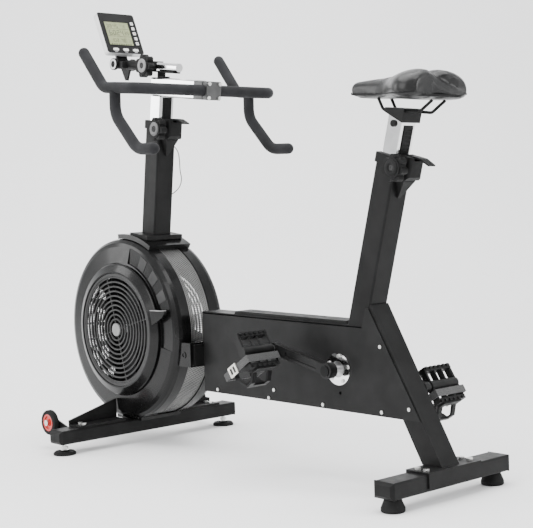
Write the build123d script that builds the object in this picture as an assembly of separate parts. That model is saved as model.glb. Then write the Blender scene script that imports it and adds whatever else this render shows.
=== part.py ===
from build123d import *
from math import sin, cos, tan, radians, pi, degrees, acos
import os

# Air bike (fan resistance exercise bike), millimetres.
# +Z up, -X towards the fan, -Y the rider's left. The origin is on the floor,
# under the middle of the bike's bounding box.

os.makedirs("parts", exist_ok=True)

# ---------------------------------------------------------------- driving dimensions
FRONT_X = -471.0          # centre line of the front stabilizer
REAR_X = 646.0            # centre line of the rear stabilizer
BAR_W, BAR_LOW, BAR_TOP = 60.0, 31.0, 69.0
FRONT_LEN, REAR_LEN = 631.0, 410.0
CAP_LEN = 10.0            # visible length of a stabilizer end cap
FRONT_FOOT_Y, REAR_FOOT_Y = 285.0, 172.0

FAN_X, FAN_Z = -462.0, 328.0
CASE_R, CASE_HALF = 256.0, 88.0
BAND_R, BAND_HALF = 251.5, 37.0
RING_R, RING_FACE = 188.0, 90.0
GRILLE_R, GRILLE_FACE = 155.0, 104.0

BOX_HALF = 30.0           # half width of the main frame box
PANEL_T = 2.5
BOX_FRONT_LOW, BOX_FRONT_TOP = (-163.0, 172.0), (-163.0, 388.0)

CRANK_X, CRANK_Z = 354.0, 272.0
CRANK_LEN, CRANK_ANGLE = 170.0, 15.6

POST_X, POST_Z, POST_LEAN = -354.5, 900.0, 7.55
SEAT_X, SEAT_Z, SEAT_LEAN = 448.0, 500.0, 15.63
TUBE_W, TUBE_WALL, INNER_W = 60.0, 3.0, 48.0

JACK_X, JACK_Z = -60.0, 249.0
BELT1_Y, BELT2_Y = -10.0, 13.0
CRANK_PULLEY_R, JACK_SMALL_R = 85.0, 17.0
JACK_BIG_R, FAN_PULLEY_R = 20.0, 14.0

BAR_TUBE_R, FOAM_R = 11.0, 15.0
GRIP_Y = 232.0

DATUM_X = 16.5            # moves the drawing so the bounding box is centred on the origin

POST = Location((POST_X, 0, POST_Z), (0, POST_LEAN, 0))
SEAT = Location((SEAT_X, 0, SEAT_Z), (0, SEAT_LEAN, 0))


# ---------------------------------------------------------------- helpers
def box(x0, x1, y0, y1, z0, z1):
    """Axis-aligned block between two corners."""
    return Pos((x0 + x1) / 2, (y0 + y1) / 2, (z0 + z1) / 2) * Box(x1 - x0, y1 - y0, z1 - z0)


def ycyl(x, z, r, y0, y1):
    """Cylinder along Y."""
    return Pos(x, (y0 + y1) / 2, z) * Rot(90, 0, 0) * Cylinder(r, abs(y1 - y0))


def yring(x, z, r, bore, y0, y1):
    """Tube along Y."""
    return ycyl(x, z, r, y0, y1) - ycyl(x, z, bore, min(y0, y1) - 1, max(y0, y1) + 1)


def zcyl(x, y, r, z0, z1):
    """Cylinder along Z."""
    return Pos(x, y, (z0 + z1) / 2) * Cylinder(r, z1 - z0)


def xcyl(y, z, r, x0, x1):
    """Cylinder along X."""
    return Pos((x0 + x1) / 2, y, z) * Rot(0, 90, 0) * Cylinder(r, x1 - x0)


def xz_plate(points, y0, y1):
    """Plate cut to an outline in the XZ plane."""
    face = make_face(Polyline(*[(x, 0, z) for x, z in points], close=True))
    solid = extrude(face, amount=y1 - y0, dir=(0, 1, 0))
    return Pos(0, y0, 0) * solid


def yz_plate(points, x0, x1):
    """Plate cut to an outline in the YZ plane."""
    face = make_face(Polyline(*[(0, y, z) for y, z in points], close=True))
    solid = extrude(face, amount=x1 - x0, dir=(1, 0, 0))
    return Pos(x0, 0, 0) * solid


def fan_turn(profile, start=0.0, sweep=360.0):
    """Revolve a (radius, y) profile about the fan's axle."""
    face = make_face(Polyline(*[(r, y, 0) for r, y in profile], close=True))
    solid = revolve(face, Axis((0, 0, 0), (0, 1, 0)), sweep)
    return Pos(FAN_X, 0, FAN_Z) * Rot(0, -start, 0) * solid


def local(frame, shape):
    """Place a shape drawn upright on a leaning post."""
    return frame * shape


def on_post(lx, lz):
    """World X and Z of a point given along and across the front post."""
    a = radians(POST_LEAN)
    return (POST_X + lx * cos(a) + lz * sin(a), POST_Z - lx * sin(a) + lz * cos(a))


def on_seat(lx, lz):
    """World X and Z of a point given along and across the seat tube."""
    a = radians(SEAT_LEAN)
    return (SEAT_X + lx * cos(a) + lz * sin(a), SEAT_Z - lx * sin(a) + lz * cos(a))


def star_knob(lobes=7, r=24.0, lobe_r=8.5, thick=24.0, bore=3.0):
    """Lobed hand knob, axis along Y, its back face at y = 0 and its front at -thick."""
    knob = ycyl(0, 0, r, -thick, 0)
    for i in range(lobes):
        t = 2 * pi * i / lobes
        knob += ycyl(r * cos(t), r * sin(t), lobe_r, -thick + 2, -2)
    knob -= ycyl(0, 0, 7.0, -thick - 1, -thick + 9)
    return knob


def hexagon(across, height):
    """Hexagonal bolt head standing on z = 0."""
    return extrude(RegularPolygon(across / 2, 6, major_radius=False), height)


pieces = {}


def add(name, *shapes):
    """Put solids into a named node; fasteners and matched sets share one node."""
    for shape in shapes:
        pieces.setdefault(name, []).extend(shape.solids())


# ---------------------------------------------------------------- stabilizers and feet
def stabilizer(x, length):
    """Rectangular tube lying along Y, with a plastic cap in each end."""
    half = length / 2 - CAP_LEN
    tube = box(x - 30, x + 30, -half, half, BAR_LOW, BAR_TOP)
    tube = fillet(tube.edges().filter_by(Axis.Y), 5)
    tube -= box(x - 27, x + 27, -half - 1, half + 1, BAR_LOW + 3, BAR_TOP - 3)
    caps = []
    for s in (-1, 1):
        cap_in, cap_out = sorted((s * half, s * (half + CAP_LEN)))
        cap = box(x - 30, x + 30, cap_in, cap_out, BAR_LOW, BAR_TOP)
        outer = cap.faces().sort_by(Axis.Y)[-1 if s > 0 else 0]
        cap = chamfer(outer.edges(), 7)
        plug_in, plug_out = sorted((s * (half - 12), s * half))
        cap += box(x - 26.9, x + 26.9, plug_in, plug_out, BAR_LOW + 3.1, BAR_TOP - 3.1)
        caps.append(cap)
    return tube, caps


front_bar, front_caps = stabilizer(FRONT_X, FRONT_LEN)
rear_bar, rear_caps = stabilizer(REAR_X, REAR_LEN)
for s in (-1, 1):
    front_bar -= zcyl(FRONT_X, s * FRONT_FOOT_Y, 5.1, BAR_LOW - 1, BAR_LOW + 4)
    rear_bar -= zcyl(REAR_X, s * REAR_FOOT_Y, 4.1, BAR_LOW - 1, BAR_LOW + 4)
add("front_bar", front_bar)
add("bar_caps", *front_caps, *rear_caps)

for side, s in (("left", -1), ("right", 1)):
    y = s * FRONT_FOOT_Y
    foot = zcyl(FRONT_X, y, 31, 0, 9)
    foot = chamfer(foot.edges().sort_by(Axis.Z)[-1], 4)
    foot += zcyl(FRONT_X, y, 12, 9, 13)
    foot += zcyl(FRONT_X, y, 5, 13, 42)
    foot += Pos(FRONT_X, y, 16) * hexagon(17, 6)
    add("feet", foot)

FOOT_RIM = 9.0            # height of a rear foot's straight rim
domes = []
for s in (-1, 1):
    dome = Pos(REAR_X, s * REAR_FOOT_Y, (FOOT_RIM + BAR_LOW - 0.05) / 2) * Cone(27, 18, BAR_LOW - 0.05 - FOOT_RIM)
    base = zcyl(REAR_X, s * REAR_FOOT_Y, 27, 0, FOOT_RIM)
    base = chamfer(base.edges().sort_by(Axis.Z)[0], 1.5)
    domes.append(dome + base + zcyl(REAR_X, s * REAR_FOOT_Y, 4, 20, 46))
add("feet", *domes)

# ---------------------------------------------------------------- transport wheels
WHEEL_X, WHEEL_Y, WHEEL_Z, WHEEL_R = -570.0, 266.0, 75.0, 35.0
brackets = []
axles = []
for side, s in (("left", -1), ("right", 1)):
    y_in = s * (WHEEL_Y - 11)
    tyre = ycyl(WHEEL_X, WHEEL_Z, WHEEL_R, s * WHEEL_Y - 9, s * WHEEL_Y + 9)
    tyre = fillet(tyre.edges(), 5)
    tyre -= ycyl(WHEEL_X, WHEEL_Z, 24, s * WHEEL_Y - 10, s * WHEEL_Y + 10)
    hub = yring(WHEEL_X, WHEEL_Z, 24, 5.05, s * WHEEL_Y - 8, s * WHEEL_Y + 8)
    hub -= yring(WHEEL_X, WHEEL_Z, 19, 10, s * (WHEEL_Y + 4), s * (WHEEL_Y + 9))
    add(f"wheel_{side}", tyre, hub)
    outline = [(FRONT_X - 30, BAR_LOW + 3), (FRONT_X - 30, BAR_TOP - 2), (WHEEL_X - 4, WHEEL_Z + 14),
               (WHEEL_X - 14, WHEEL_Z), (WHEEL_X - 4, WHEEL_Z - 14)]
    arm = xz_plate(outline, min(y_in, y_in - s * 5), max(y_in, y_in - s * 5))
    arm += box(FRONT_X - 34, FRONT_X - 30, min(y_in, y_in - s * 40), max(y_in, y_in - s * 40),
               BAR_LOW + 3, BAR_TOP - 2)
    arm -= ycyl(WHEEL_X, WHEEL_Z, 5.05, -400, 400)
    brackets.append(arm)
    axle = ycyl(WHEEL_X, WHEEL_Z, 5, s * (WHEEL_Y - 24), s * (WHEEL_Y + 9))
    head = Pos(WHEEL_X, s * (WHEEL_Y + 9), WHEEL_Z) * Rot(-90 * s, 0, 0) * hexagon(16, 5)
    nut = Pos(WHEEL_X, s * (WHEEL_Y - 16), WHEEL_Z) * Rot(90 * s, 0, 0) * hexagon(16, 6)
    axles.append(axle + head + nut)
add("bar_brackets", *brackets)
add("fasteners", *axles)

# ---------------------------------------------------------------- rear leg, seat tube, main box
LEG_LEAN = 29.8


def leg_rear_x(z):
    """X of the rear leg's rear face at a height."""
    return 462.0 + (430.0 - z) * tan(radians(LEG_LEAN))


LEG_T = 58.0              # horizontal thickness of the leaning rear leg

BOX_TOP_SLOPE = 0.014


def box_top_z(x):
    """Height of the main box's sloping top at an X."""
    return BOX_FRONT_TOP[1] - BOX_TOP_SLOPE * (x - BOX_FRONT_TOP[0])


def square_tube(outer, bore, z0, z1, radius=5):
    """Upright square tube with rounded corners."""
    tube = box(-outer / 2, outer / 2, -outer / 2, outer / 2, z0, z1)
    tube = fillet(tube.edges().filter_by(Axis.Z), radius)
    return tube - box(-bore / 2, bore / 2, -bore / 2, bore / 2, z0 - 1, z1 + 1)


SEAT_TOP = 281.0          # seat tube's top, along the tube
below_box = xz_plate([(200, 100), (700, 100), (700, box_top_z(700) + 0.05),
                      (200, box_top_z(200) + 0.05)], -70, 70)
seat_tube = local(SEAT, square_tube(TUBE_W, TUBE_W - 2 * TUBE_WALL, -160, SEAT_TOP)) - below_box
seat_tube -= local(SEAT, box(20, 40, -10.5, 10.5, SEAT_TOP - 40, SEAT_TOP + 1))
add("seat_tube", seat_tube)

leg_z0, leg_z1 = BAR_TOP + 5.05, 430.0
leg = xz_plate([(leg_rear_x(leg_z0), leg_z0), (leg_rear_x(leg_z1), leg_z1),
                (leg_rear_x(leg_z1) - LEG_T, leg_z1), (leg_rear_x(leg_z0) - LEG_T, leg_z0)], -30, 30)
leg -= xz_plate([(leg_rear_x(60) - 4, 60), (leg_rear_x(360) - 4, 360),
                 (leg_rear_x(360) - LEG_T + 4, 360), (leg_rear_x(60) - LEG_T + 4, 60)], -27, 27)
leg -= local(SEAT, box(-200, 30.05, -60, 60, -400, 300))
leg = leg.solids().sort_by(SortBy.VOLUME)[-1]

# Main box: a formed steel rim, open at both sides under the screwed panels.
rear_low = (leg_rear_x(170) - 1, 170)
rear_top = (leg_rear_x(378) - 1, box_top_z(494))
rim_outer = [BOX_FRONT_LOW, BOX_FRONT_TOP, rear_top, rear_low]
rim_inner = [(BOX_FRONT_LOW[0] + 4, 175), (BOX_FRONT_TOP[0] + 4, box_top_z(-159) - 3),
             (rear_top[0] - 3, rear_top[1] - 3), (rear_low[0] - 6, 173)]
main_box = xz_plate(rim_outer, -BOX_HALF, BOX_HALF) - xz_plate(rim_inner, -50, 50)
main_box -= xz_plate([(leg_rear_x(60) + 0.05, 60), (leg_rear_x(500) + 0.05, 500),
                      (leg_rear_x(500) - LEG_T - 0.05, 500), (leg_rear_x(60) - LEG_T - 0.05, 60)],
                     -30.05, 30.05)
main_box += box(-176, -160, -62, 62, 243.2, 299.5)
main_box -= box(-180, -150, 0.5, 26, 247, 293.4)
main_box = main_box.solids().sort_by(SortBy.VOLUME)[-1]

# The panel's rear end runs up beside the seat tube and down the leg's outer face.
panel_outline = [(BOX_FRONT_LOW[0] + 4, 173), (BOX_FRONT_TOP[0] + 4, box_top_z(-159) - 6),
                 (432, box_top_z(432) - 5.5), (446, 421), (456, 421), (608, 171)]
rim_screws = [(-105, 181), (118, 200), (98, 178), (295, 180), (490, 181)]
leg_screws = [(490, 334), (575, 196)]
screw_spots = rim_screws + leg_screws
panel_screws = []
for side, s in (("left", -1), ("right", 1)):
    y0, y1 = sorted((s * (BOX_HALF + 0.05), s * (BOX_HALF + PANEL_T)))
    panel = xz_plate(panel_outline, y0, y1)
    panel -= ycyl(CRANK_X, CRANK_Z, 26.1, -60, 60)
    panel -= ycyl(356, 214, 4, -60, 60)
    for x, z in screw_spots:
        panel -= ycyl(x, z, 2.1, -60, 60)
        screw = ycyl(x, z, 2, s * (BOX_HALF - 6), s * (BOX_HALF + PANEL_T))
        panel_screws.append(screw + ycyl(x, z, 4.5, s * (BOX_HALF + PANEL_T), s * (BOX_HALF + PANEL_T + 1.8)))
    add(f"side_panel_{side}", panel)
# Welded nut lugs just inside the rim carry the front screws; the others enter the leg's wall.
for x, z in rim_screws:
    for s in (-1, 1):
        y0, y1 = sorted((s * (BOX_HALF - 8), s * BOX_HALF))
        lug = box(x - 7, x + 7, y0, y1, 171, z + 7)
        lug = lug & xz_plate(rim_outer, -60, 60)
        main_box += lug - ycyl(x, z, 2.05, -60, 60)
add("main_box", main_box)
for x, z in leg_screws:
    leg -= ycyl(x, z, 2.05, -60, 60)
add("rear_leg", leg)
add("fasteners", *panel_screws)

cover = xz_plate([(-35, box_top_z(-35) + 0.05), (378, box_top_z(378) + 0.05),
                  (372, box_top_z(378) + 8), (-28, box_top_z(-35) + 8)], -26, 26)
cover = fillet(cover.edges().group_by(Axis.Z)[-1], 2.5)
add("covers", cover)

sleeve = box(REAR_X - 34, REAR_X + 34, -90, 90, BAR_LOW + 8, BAR_TOP + 5)
sleeve -= box(REAR_X - 30.05, REAR_X + 30.05, -95, 95, 0, BAR_TOP + 0.05)
bolt_spots = ((-12, -75), (13, -75), (-12, 75), (13, 75))
bolts = []
for dx, y in bolt_spots:
    sleeve -= zcyl(REAR_X + dx, y, 4.2, BAR_TOP - 1, BAR_TOP + 6)
    rear_bar -= zcyl(REAR_X + dx, y, 4.2, BAR_TOP - 6, BAR_TOP + 1)
    bolt = zcyl(REAR_X + dx, y, 4, BAR_TOP - 7, BAR_TOP + 5)
    bolt += zcyl(REAR_X + dx, y, 7.5, BAR_TOP + 5, BAR_TOP + 10)
    bolts.append(bolt)
add("rear_bar", rear_bar)
add("bar_brackets", sleeve)
add("fasteners", *bolts)

# ---------------------------------------------------------------- fan yoke and front post
YOKE_IN, YOKE_OUT = 54.0, 59.0
CROWN_LOW, CROWN_TOP = -318.0, -306.0
POST_TOP = 5.0            # top of the outer front post, along the post
up_a, up_b = on_post(-28, CROWN_LOW - 0.02), on_post(28, CROWN_LOW - 0.02)
for side, s in (("left", -1), ("right", 1)):
    y0, y1 = sorted((s * YOKE_IN, s * YOKE_OUT))
    plate = ycyl(FAN_X, FAN_Z, 36, y0, y1)
    plate += xz_plate([(FAN_X - 30, FAN_Z), up_a, up_b, (FAN_X + 32, FAN_Z)], y0, y1)
    plate += xz_plate([(FAN_X, FAN_Z + 30), (-206, 297), (-176.05, 297), (-176.05, 247), (-206, 249),
                       (FAN_X, FAN_Z - 32)], y0, y1)
    plate += xz_plate([(FAN_X - 32, FAN_Z), (FAN_X + 32, FAN_Z), (-445, BAR_TOP + 0.05),
                       (-492, BAR_TOP + 0.05)], y0, y1)
    plate -= ycyl(FAN_X, FAN_Z, 7.55, -80, 80)
    add("front_post", plate)

crown = local(POST, box(-40, 40, -62, 62, CROWN_LOW, CROWN_TOP))
post = local(POST, square_tube(TUBE_W, TUBE_W - 2 * TUBE_WALL, CROWN_TOP, POST_TOP))
post -= local(POST, box(20, 40, -10.5, 10.5, POST_TOP - 40, POST_TOP + 1))
add("front_post", crown, post)

# ---------------------------------------------------------------- fan cage
rear_window = box(-240, -150, -62.5, 62.5, 241, 301)
top_window = local(POST, box(-31, 31, -62.5, 62.5, -372, -300))
foot_window = box(-497, -427, -62.5, 62.5, 60, 108)
windows = rear_window + top_window + foot_window
shell_profile = [(CASE_R, 36), (CASE_R, 66), (253, 76), (245, 83.5), (234, 87), (RING_R + 1, RING_FACE),
                 (RING_R + 1, 86.5), (166, 93), (160, 99), (160, 96), (165, 89.5), (RING_R - 2, 82.5),
                 (232, 83.5), (243, 80.5), (250, 74), (252.5, 65), (252.5, 36)]
for side, s in (("left", -1), ("right", 1)):
    shell = fan_turn([(r, s * y) for r, y in shell_profile])
    # Recessed sector on the face carries the damper scale.
    recess = fan_turn([(193, s * 85.8), (193, s * 95), (238, s * 95), (238, s * 85.8)], 76, 88)
    shell -= recess
    shell -= windows
    add(f"cage_shell_{side}", shell)

band = fan_turn([(BAND_R, -BAND_HALF), (BAND_R, BAND_HALF), (BAND_R - 1.2, BAND_HALF),
                 (BAND_R - 1.2, -BAND_HALF)])
band -= windows
add("cage_mesh_band", *band.solids())

for side, s in (("left", -1), ("right", 1)):
    rings = None
    for i in range(10):
        r = 30 + 13.2 * i
        ring = yring(FAN_X, FAN_Z, r + 2.2, r - 2.2, s * (GRILLE_FACE - 4), s * GRILLE_FACE)
        rings = ring if rings is None else rings + ring
    rings += yring(FAN_X, FAN_Z, 159.7, 152, s * (GRILLE_FACE - 6), s * (GRILLE_FACE + 1))
    rings += ycyl(FAN_X, FAN_Z, 18, s * (GRILLE_FACE - 4), s * (GRILLE_FACE + 1))
    for k in range(4):
        bar = box(16, 154, -1.6, 1.6, -1.6, 1.6)
        rings += Pos(FAN_X, s * (GRILLE_FACE - 3.5), FAN_Z) * Rot(0, -15 - 90 * k, 0) * bar
    add("grilles", rings)

# Damper: a conical ring with a finger wing that turns on the cage's left face.
damper_profile = [(162, -100), (RING_R - 1, -92.5), (RING_R - 1, -96), (RING_R - 4, -98.5),
                  (165, -107), (161, -107), (161, -101)]
damper = fan_turn(damper_profile)
wing_angle = 14.0
wing = Pos(FAN_X, 0, FAN_Z) * Rot(0, -wing_angle, 0) * (
    box(168, 232, -104, -95, -3, 3) + box(168, 190, -104, -98, -9, 9))
damper += wing
add("damper_ring", damper)
add("covers", fan_turn([(r, -y) for r, y in damper_profile]))

scale_marks = []
for a in (27, 43, 59):
    scale_marks.append(fan_turn([(198, -86.1), (198, -86.75), (234, -86.75), (234, -86.1)], a + 4, 8))
add("covers", *scale_marks)

# Moulded covers where the yoke leaves the cage.
rear_cover = xz_plate([(-226, 304), (-168, 304), (-168, 239), (-226, 239)], -72, 72)
rear_cover -= ycyl(FAN_X, FAN_Z, CASE_R + 0.5, -90, 90)
rear_cover -= xz_plate([(-260, 300.5), (-150, 300.5), (-150, 242.5), (-260, 242.5)], -67, 67)
for s in (-1, 1):
    rear_cover += ycyl(-196, 271, 9, s * 72, s * 74) - ycyl(-196, 271, 5.2, s * 71, s * 75)
rear_cover = rear_cover.solids().sort_by(SortBy.VOLUME)[-1]
add("covers", rear_cover)
top_cover_ring = fan_turn([(CASE_R + 0.6, -72), (CASE_R + 14, -72), (CASE_R + 14, 72),
                           (CASE_R + 0.6, 72)], 94, 33)
top_cover_ring -= local(POST, box(-40.3, 40.3, -62.3, 62.3, -345, -240))
top_cover_ring = top_cover_ring.solids().sort_by(SortBy.VOLUME)[-1]
add("covers", top_cover_ring)
cradle = box(-520, -404, -70, 70, BAR_TOP + 0.05, 96)
cradle -= ycyl(FAN_X, FAN_Z, CASE_R + 0.5, -90, 90)
for s in (-1, 1):
    cradle -= box(-497, -440, *sorted((s * 53.5, s * 59.5)), 60, 110)
add("covers", *cradle.solids())

gusset_bolts = []
for side, s in (("left", -1), ("right", 1)):
    web = yz_plate([(s * 92, 75), (s * 92, 128), (s * 252, 86), (s * 252, 75)], -498, -492)
    web += box(-498, -446, *sorted((s * 92, s * 252)), BAR_TOP + 0.05, 75)
    web = web - fan_turn([(0, s * 60), (0, s * 109), (RING_R + 2, s * 109), (RING_R + 2, s * 90.5),
                          (CASE_R + 1, s * 88), (CASE_R + 1, s * 60)])
    for x in (-478, -460):
        web -= zcyl(x, s * 226, 4.1, 60, 80)
        bolt = zcyl(x, s * 226, 4, BAR_TOP + 0.05, 75) + zcyl(x, s * 226, 7, 75, 80)
        gusset_bolts.append(bolt)
    add("bar_brackets", web.solids().sort_by(SortBy.VOLUME)[-1])
add("fasteners", *gusset_bolts)

# ---------------------------------------------------------------- fan rotor
AXLE_R = 7.5
axle = ycyl(FAN_X, FAN_Z, AXLE_R, -66, 66)
for s in (-1, 1):
    nut = Pos(FAN_X, s * 59.05, FAN_Z) * Rot(-90 * s, 0, 0) * hexagon(22, 8)
    axle += nut
add("bearing_units", axle)

BEARING_OUT = 16.0
rotor = yring(FAN_X, FAN_Z, 30, BEARING_OUT + 0.02, -46, 2)
rotor += yring(FAN_X, FAN_Z, 120, 28, -15, -12)
rotor += yring(FAN_X, FAN_Z, 236, 230, -15, -9)
for i in range(20):
    t = 18.0 * i
    blade = Rot(0, -t, 0) * (box(60, 234, -46, 2, -1, 1) + box(28, 61, -15, -9, -1, 1))
    rotor += Pos(FAN_X, 0, FAN_Z) * blade
add("fan_rotor", rotor)
bearings = []
for y in (-45, -8):
    bearings.append(yring(FAN_X, FAN_Z, BEARING_OUT, AXLE_R + 0.03, y, y + 9))
add("fan_rotor", *bearings)
pulley = yring(FAN_X, FAN_Z, FAN_PULLEY_R, AXLE_R + 0.05, BELT2_Y - 6, BELT2_Y + 6)
for y in (BELT2_Y - 8, BELT2_Y + 6):
    pulley += yring(FAN_X, FAN_Z, FAN_PULLEY_R + 3, AXLE_R + 0.05, y, y + 2)
pulley += yring(FAN_X, FAN_Z, 22, AXLE_R + 0.05, 2.05, BELT2_Y - 7)
add("fan_rotor", pulley)

# ---------------------------------------------------------------- jackshaft and belts
jack = ycyl(JACK_X, JACK_Z, 7.5, -29.5, 29.5)
add("jackshaft", jack)
small = yring(JACK_X, JACK_Z, JACK_SMALL_R, 7.55, BELT1_Y - 9, BELT1_Y + 9)
for y in (BELT1_Y - 11, BELT1_Y + 9):
    small += yring(JACK_X, JACK_Z, JACK_SMALL_R + 4, 7.55, y, y + 2)
add("jackshaft", small)
big = yring(JACK_X, JACK_Z, JACK_BIG_R, 7.55, BELT2_Y - 6, BELT2_Y + 6)
for y in (BELT2_Y - 8, BELT2_Y + 6):
    big += yring(JACK_X, JACK_Z, JACK_BIG_R + 3, 7.55, y, y + 2)
add("jackshaft", big)
jack_bearings = []
for s in (-1, 1):
    jack_bearings.append(yring(JACK_X, JACK_Z, 15, 7.53, s * 22, s * 30))
add("bearing_units", *jack_bearings)


def belt(x1, z1, r1, x2, z2, r2, thick, y0, y1):
    """Closed flat belt wrapped round two pulleys whose axes lie along Y."""
    outer = make_hull((Pos(x1, z1) * Circle(r1 + thick) + Pos(x2, z2) * Circle(r2 + thick)).edges())
    inner = make_hull((Pos(x1, z1) * Circle(r1) + Pos(x2, z2) * Circle(r2)).edges())
    loop = extrude(outer, y1 - y0) - extrude(inner, y1 - y0)
    return Pos(0, y1, 0) * Rot(90, 0, 0) * loop


add("drive_belts", belt(CRANK_X, CRANK_Z, CRANK_PULLEY_R + 0.1, JACK_X, JACK_Z, JACK_SMALL_R + 0.1,
                        2.5, BELT1_Y - 8, BELT1_Y + 8))
add("drive_belts", belt(FAN_X, FAN_Z, FAN_PULLEY_R + 0.1, JACK_X, JACK_Z, JACK_BIG_R + 0.1,
                      2.0, BELT2_Y - 5, BELT2_Y + 5))

# ---------------------------------------------------------------- crank
CRANK_AXLE_R = 8.5
add("crank_axle", ycyl(CRANK_X, CRANK_Z, CRANK_AXLE_R, -79, 79))
wheel = yring(CRANK_X, CRANK_Z, CRANK_PULLEY_R, CRANK_AXLE_R + 0.05, BELT1_Y - 9, BELT1_Y + 9)
for k in range(5):
    t = radians(72 * k + 20)
    wheel -= ycyl(CRANK_X + 48 * cos(t), CRANK_Z + 48 * sin(t), 19, -40, 20)
for y in (BELT1_Y - 10.5, BELT1_Y + 9):
    wheel += yring(CRANK_X, CRANK_Z, CRANK_PULLEY_R + 1.5, CRANK_PULLEY_R - 6, y, y + 1.5)
add("crank_pulley", wheel)

flange_screws = []
for side, s in (("left", -1), ("right", 1)):
    face = s * (BOX_HALF + PANEL_T + 0.05)
    flange = yring(CRANK_X, CRANK_Z, 39, 22, face, face + s * 4)
    flange += yring(CRANK_X, CRANK_Z, 26, 20, s * 22, face + s * 4)
    flange -= ycyl(CRANK_X, CRANK_Z, 20, -70, 70)
    for k in range(5):
        t = radians(72 * k + 12)
        x, z = CRANK_X + 32 * cos(t), CRANK_Z + 32 * sin(t)
        flange -= ycyl(x, z, 2.6, -70, 70)
        y0, y1 = sorted((face + s * 0.1, face + s * 4))
        screw = ycyl(x, z, 2.5, y0, y1) + ycyl(x, z, 4.5, face + s * 4, face + s * 7)
        flange_screws.append(screw)
    add("bearing_units", flange)
    bearing = yring(CRANK_X, CRANK_Z, 19.98, CRANK_AXLE_R + 0.03, s * 23, s * 35)
    add("bearing_units", bearing)
add("fasteners", *flange_screws)


def crank_arm(s):
    """Forged arm drawn along +X from the axle, splayed outward; s = -1 is the left arm."""
    plan = [(0, 61), (40, 63), (128, 79), (170, 80), (170, 96), (120, 94), (30, 79), (0, 79)]
    face = make_face(Polyline(*[(x, s * y, 0) for x, y in plan], close=True))
    arm = Pos(0, 0, -13) * extrude(face, 26, dir=(0, 0, 1))
    arm &= xz_plate([(0, -16), (170, -12), (170, 12), (0, 16)], -120, 120)
    arm += ycyl(0, 0, 19, s * 57, s * 80)
    arm += ycyl(CRANK_LEN, 0, 14, s * 79, s * 97)
    arm -= ycyl(0, 0, CRANK_AXLE_R + 0.05, s * 50, s * 90)
    arm -= ycyl(CRANK_LEN, 0, 7.05, s * 70, s * 110)
    groove = xz_plate([(32, -6), (128, -4.5), (128, 4.5), (32, 6)], -120, 120)
    skin = make_face(Polyline(*[(x, s * y, 0) for x, y in [(20, 76), (30, 76.5), (120, 91.5), (130, 92),
                                                           (130, 110), (20, 110)]], close=True))
    skin = Pos(0, 0, -20) * extrude(skin, 40, dir=(0, 0, 1))
    return arm - (groove & skin)


a_left, a_right = 180 - CRANK_ANGLE, -CRANK_ANGLE
caps = []
for side, s, ang in (("left", -1, a_left), ("right", 1, a_right)):
    place = Pos(CRANK_X, 0, CRANK_Z) * Rot(0, -ang, 0)
    add(f"crank_arm_{side}", place * crank_arm(s))
    cap = Pos(CRANK_X, s * 80.05, CRANK_Z) * Rot(-90 * s, 0, 0) * Cylinder(
        13, 3, align=(Align.CENTER, Align.CENTER, Align.MIN))
    caps.append(cap)
add("crank_axle", *caps)

# ---------------------------------------------------------------- pedals
PEDAL_TILT = 57.3


def pedal_frame(s):
    """Placement of a pedal's own frame (X fore-aft, Z across the tread) on its spindle."""
    ang = radians(a_left if s < 0 else a_right)
    return Pos(CRANK_X + CRANK_LEN * cos(ang), 0, CRANK_Z + CRANK_LEN * sin(ang)) * Rot(0, PEDAL_TILT, 0)


def pedal_body(s):
    """Resin platform: barrel, two toothed end bars, side rails and two ribs."""
    def b(x0, x1, y0, y1, z0, z1):
        return box(x0, x1, *sorted((s * y0, s * y1)), z0, z1)
    body = ycyl(0, 0, 13, s * 104, s * 198)
    for e in (-1, 1):
        body += b(*sorted((e * 36, e * 47)), 104, 198, -10, 10)
        for k in range(6):
            y = 107 + 15.4 * k
            body += b(*sorted((e * 41, e * 47)), y, y + 7, -13.5, 13.5)
    body += b(-40, 40, 104, 110, -9, 9)
    body += b(-40, 40, 192, 198, -9, 9)
    body += b(-40, 40, 136, 140, -8, 8)
    body += b(-40, 40, 162, 166, -8, 8)
    body -= ycyl(0, 0, 5.05, s * 98, s * 194)
    return body


def toe_cage(s):
    """Moulded toe cage bolted to the platform's front bar and curling over the shoe."""
    def side_arm(y0, y1):
        pts = [(47.1, 8), (47.1, -16), (66, -34), (66, -52), (34, -74), (24, -74), (24, -78), (36, -78.5),
               (71, -55), (71, -31), (52, -12), (52, 8)]
        return xz_plate(pts, *sorted((s * y0, s * y1)))
    cage = side_arm(118, 130) + side_arm(168, 180)
    cage += box(47.1, 52, *sorted((s * 118, s * 180)), -9, 8)
    bridge = xz_plate([(66, -44), (66, -52), (52, -61), (55.5, -65), (71, -55), (71, -44)],
                      *sorted((s * 118, s * 180)))
    return cage + bridge


def toe_strap(s):
    """Webbing loop round the platform and through the cage's nose."""
    y0, y1 = 100.2, 203.0
    loop = box(15, 33, *sorted((s * y0, s * y1)), -86, 16)
    loop -= box(14, 34, *sorted((s * (y0 + 2), s * (y1 - 2))), -84, 14)
    return loop


for side, s in (("left", -1), ("right", 1)):
    frame = pedal_frame(s)
    spindle = ycyl(0, 0, 7, s * 79, s * 97.1) + ycyl(0, 0, 9, s * 97.1, s * 99.5)
    spindle += ycyl(0, 0, 5, s * 99.5, s * 192)
    add("crank_axle", frame * spindle)
    add(f"pedal_{side}", frame * pedal_body(s))
    add(f"toe_clip_{side}", frame * toe_cage(s), frame * toe_strap(s))
    buckle = box(11, 37, *sorted((s * 203.05, s * 206)), -62, -30)
    buckle -= box(16, 32, *sorted((s * 202, s * 207)), -56, -48)
    buckle -= box(16, 32, *sorted((s * 202, s * 207)), -44, -36)
    add(f"toe_clip_{side}", frame * buckle)

# ---------------------------------------------------------------- height adjusters
PINION_X, PINION_DROP = 46.6, 14.0
RACK_PITCH_R = 20.0


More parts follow.
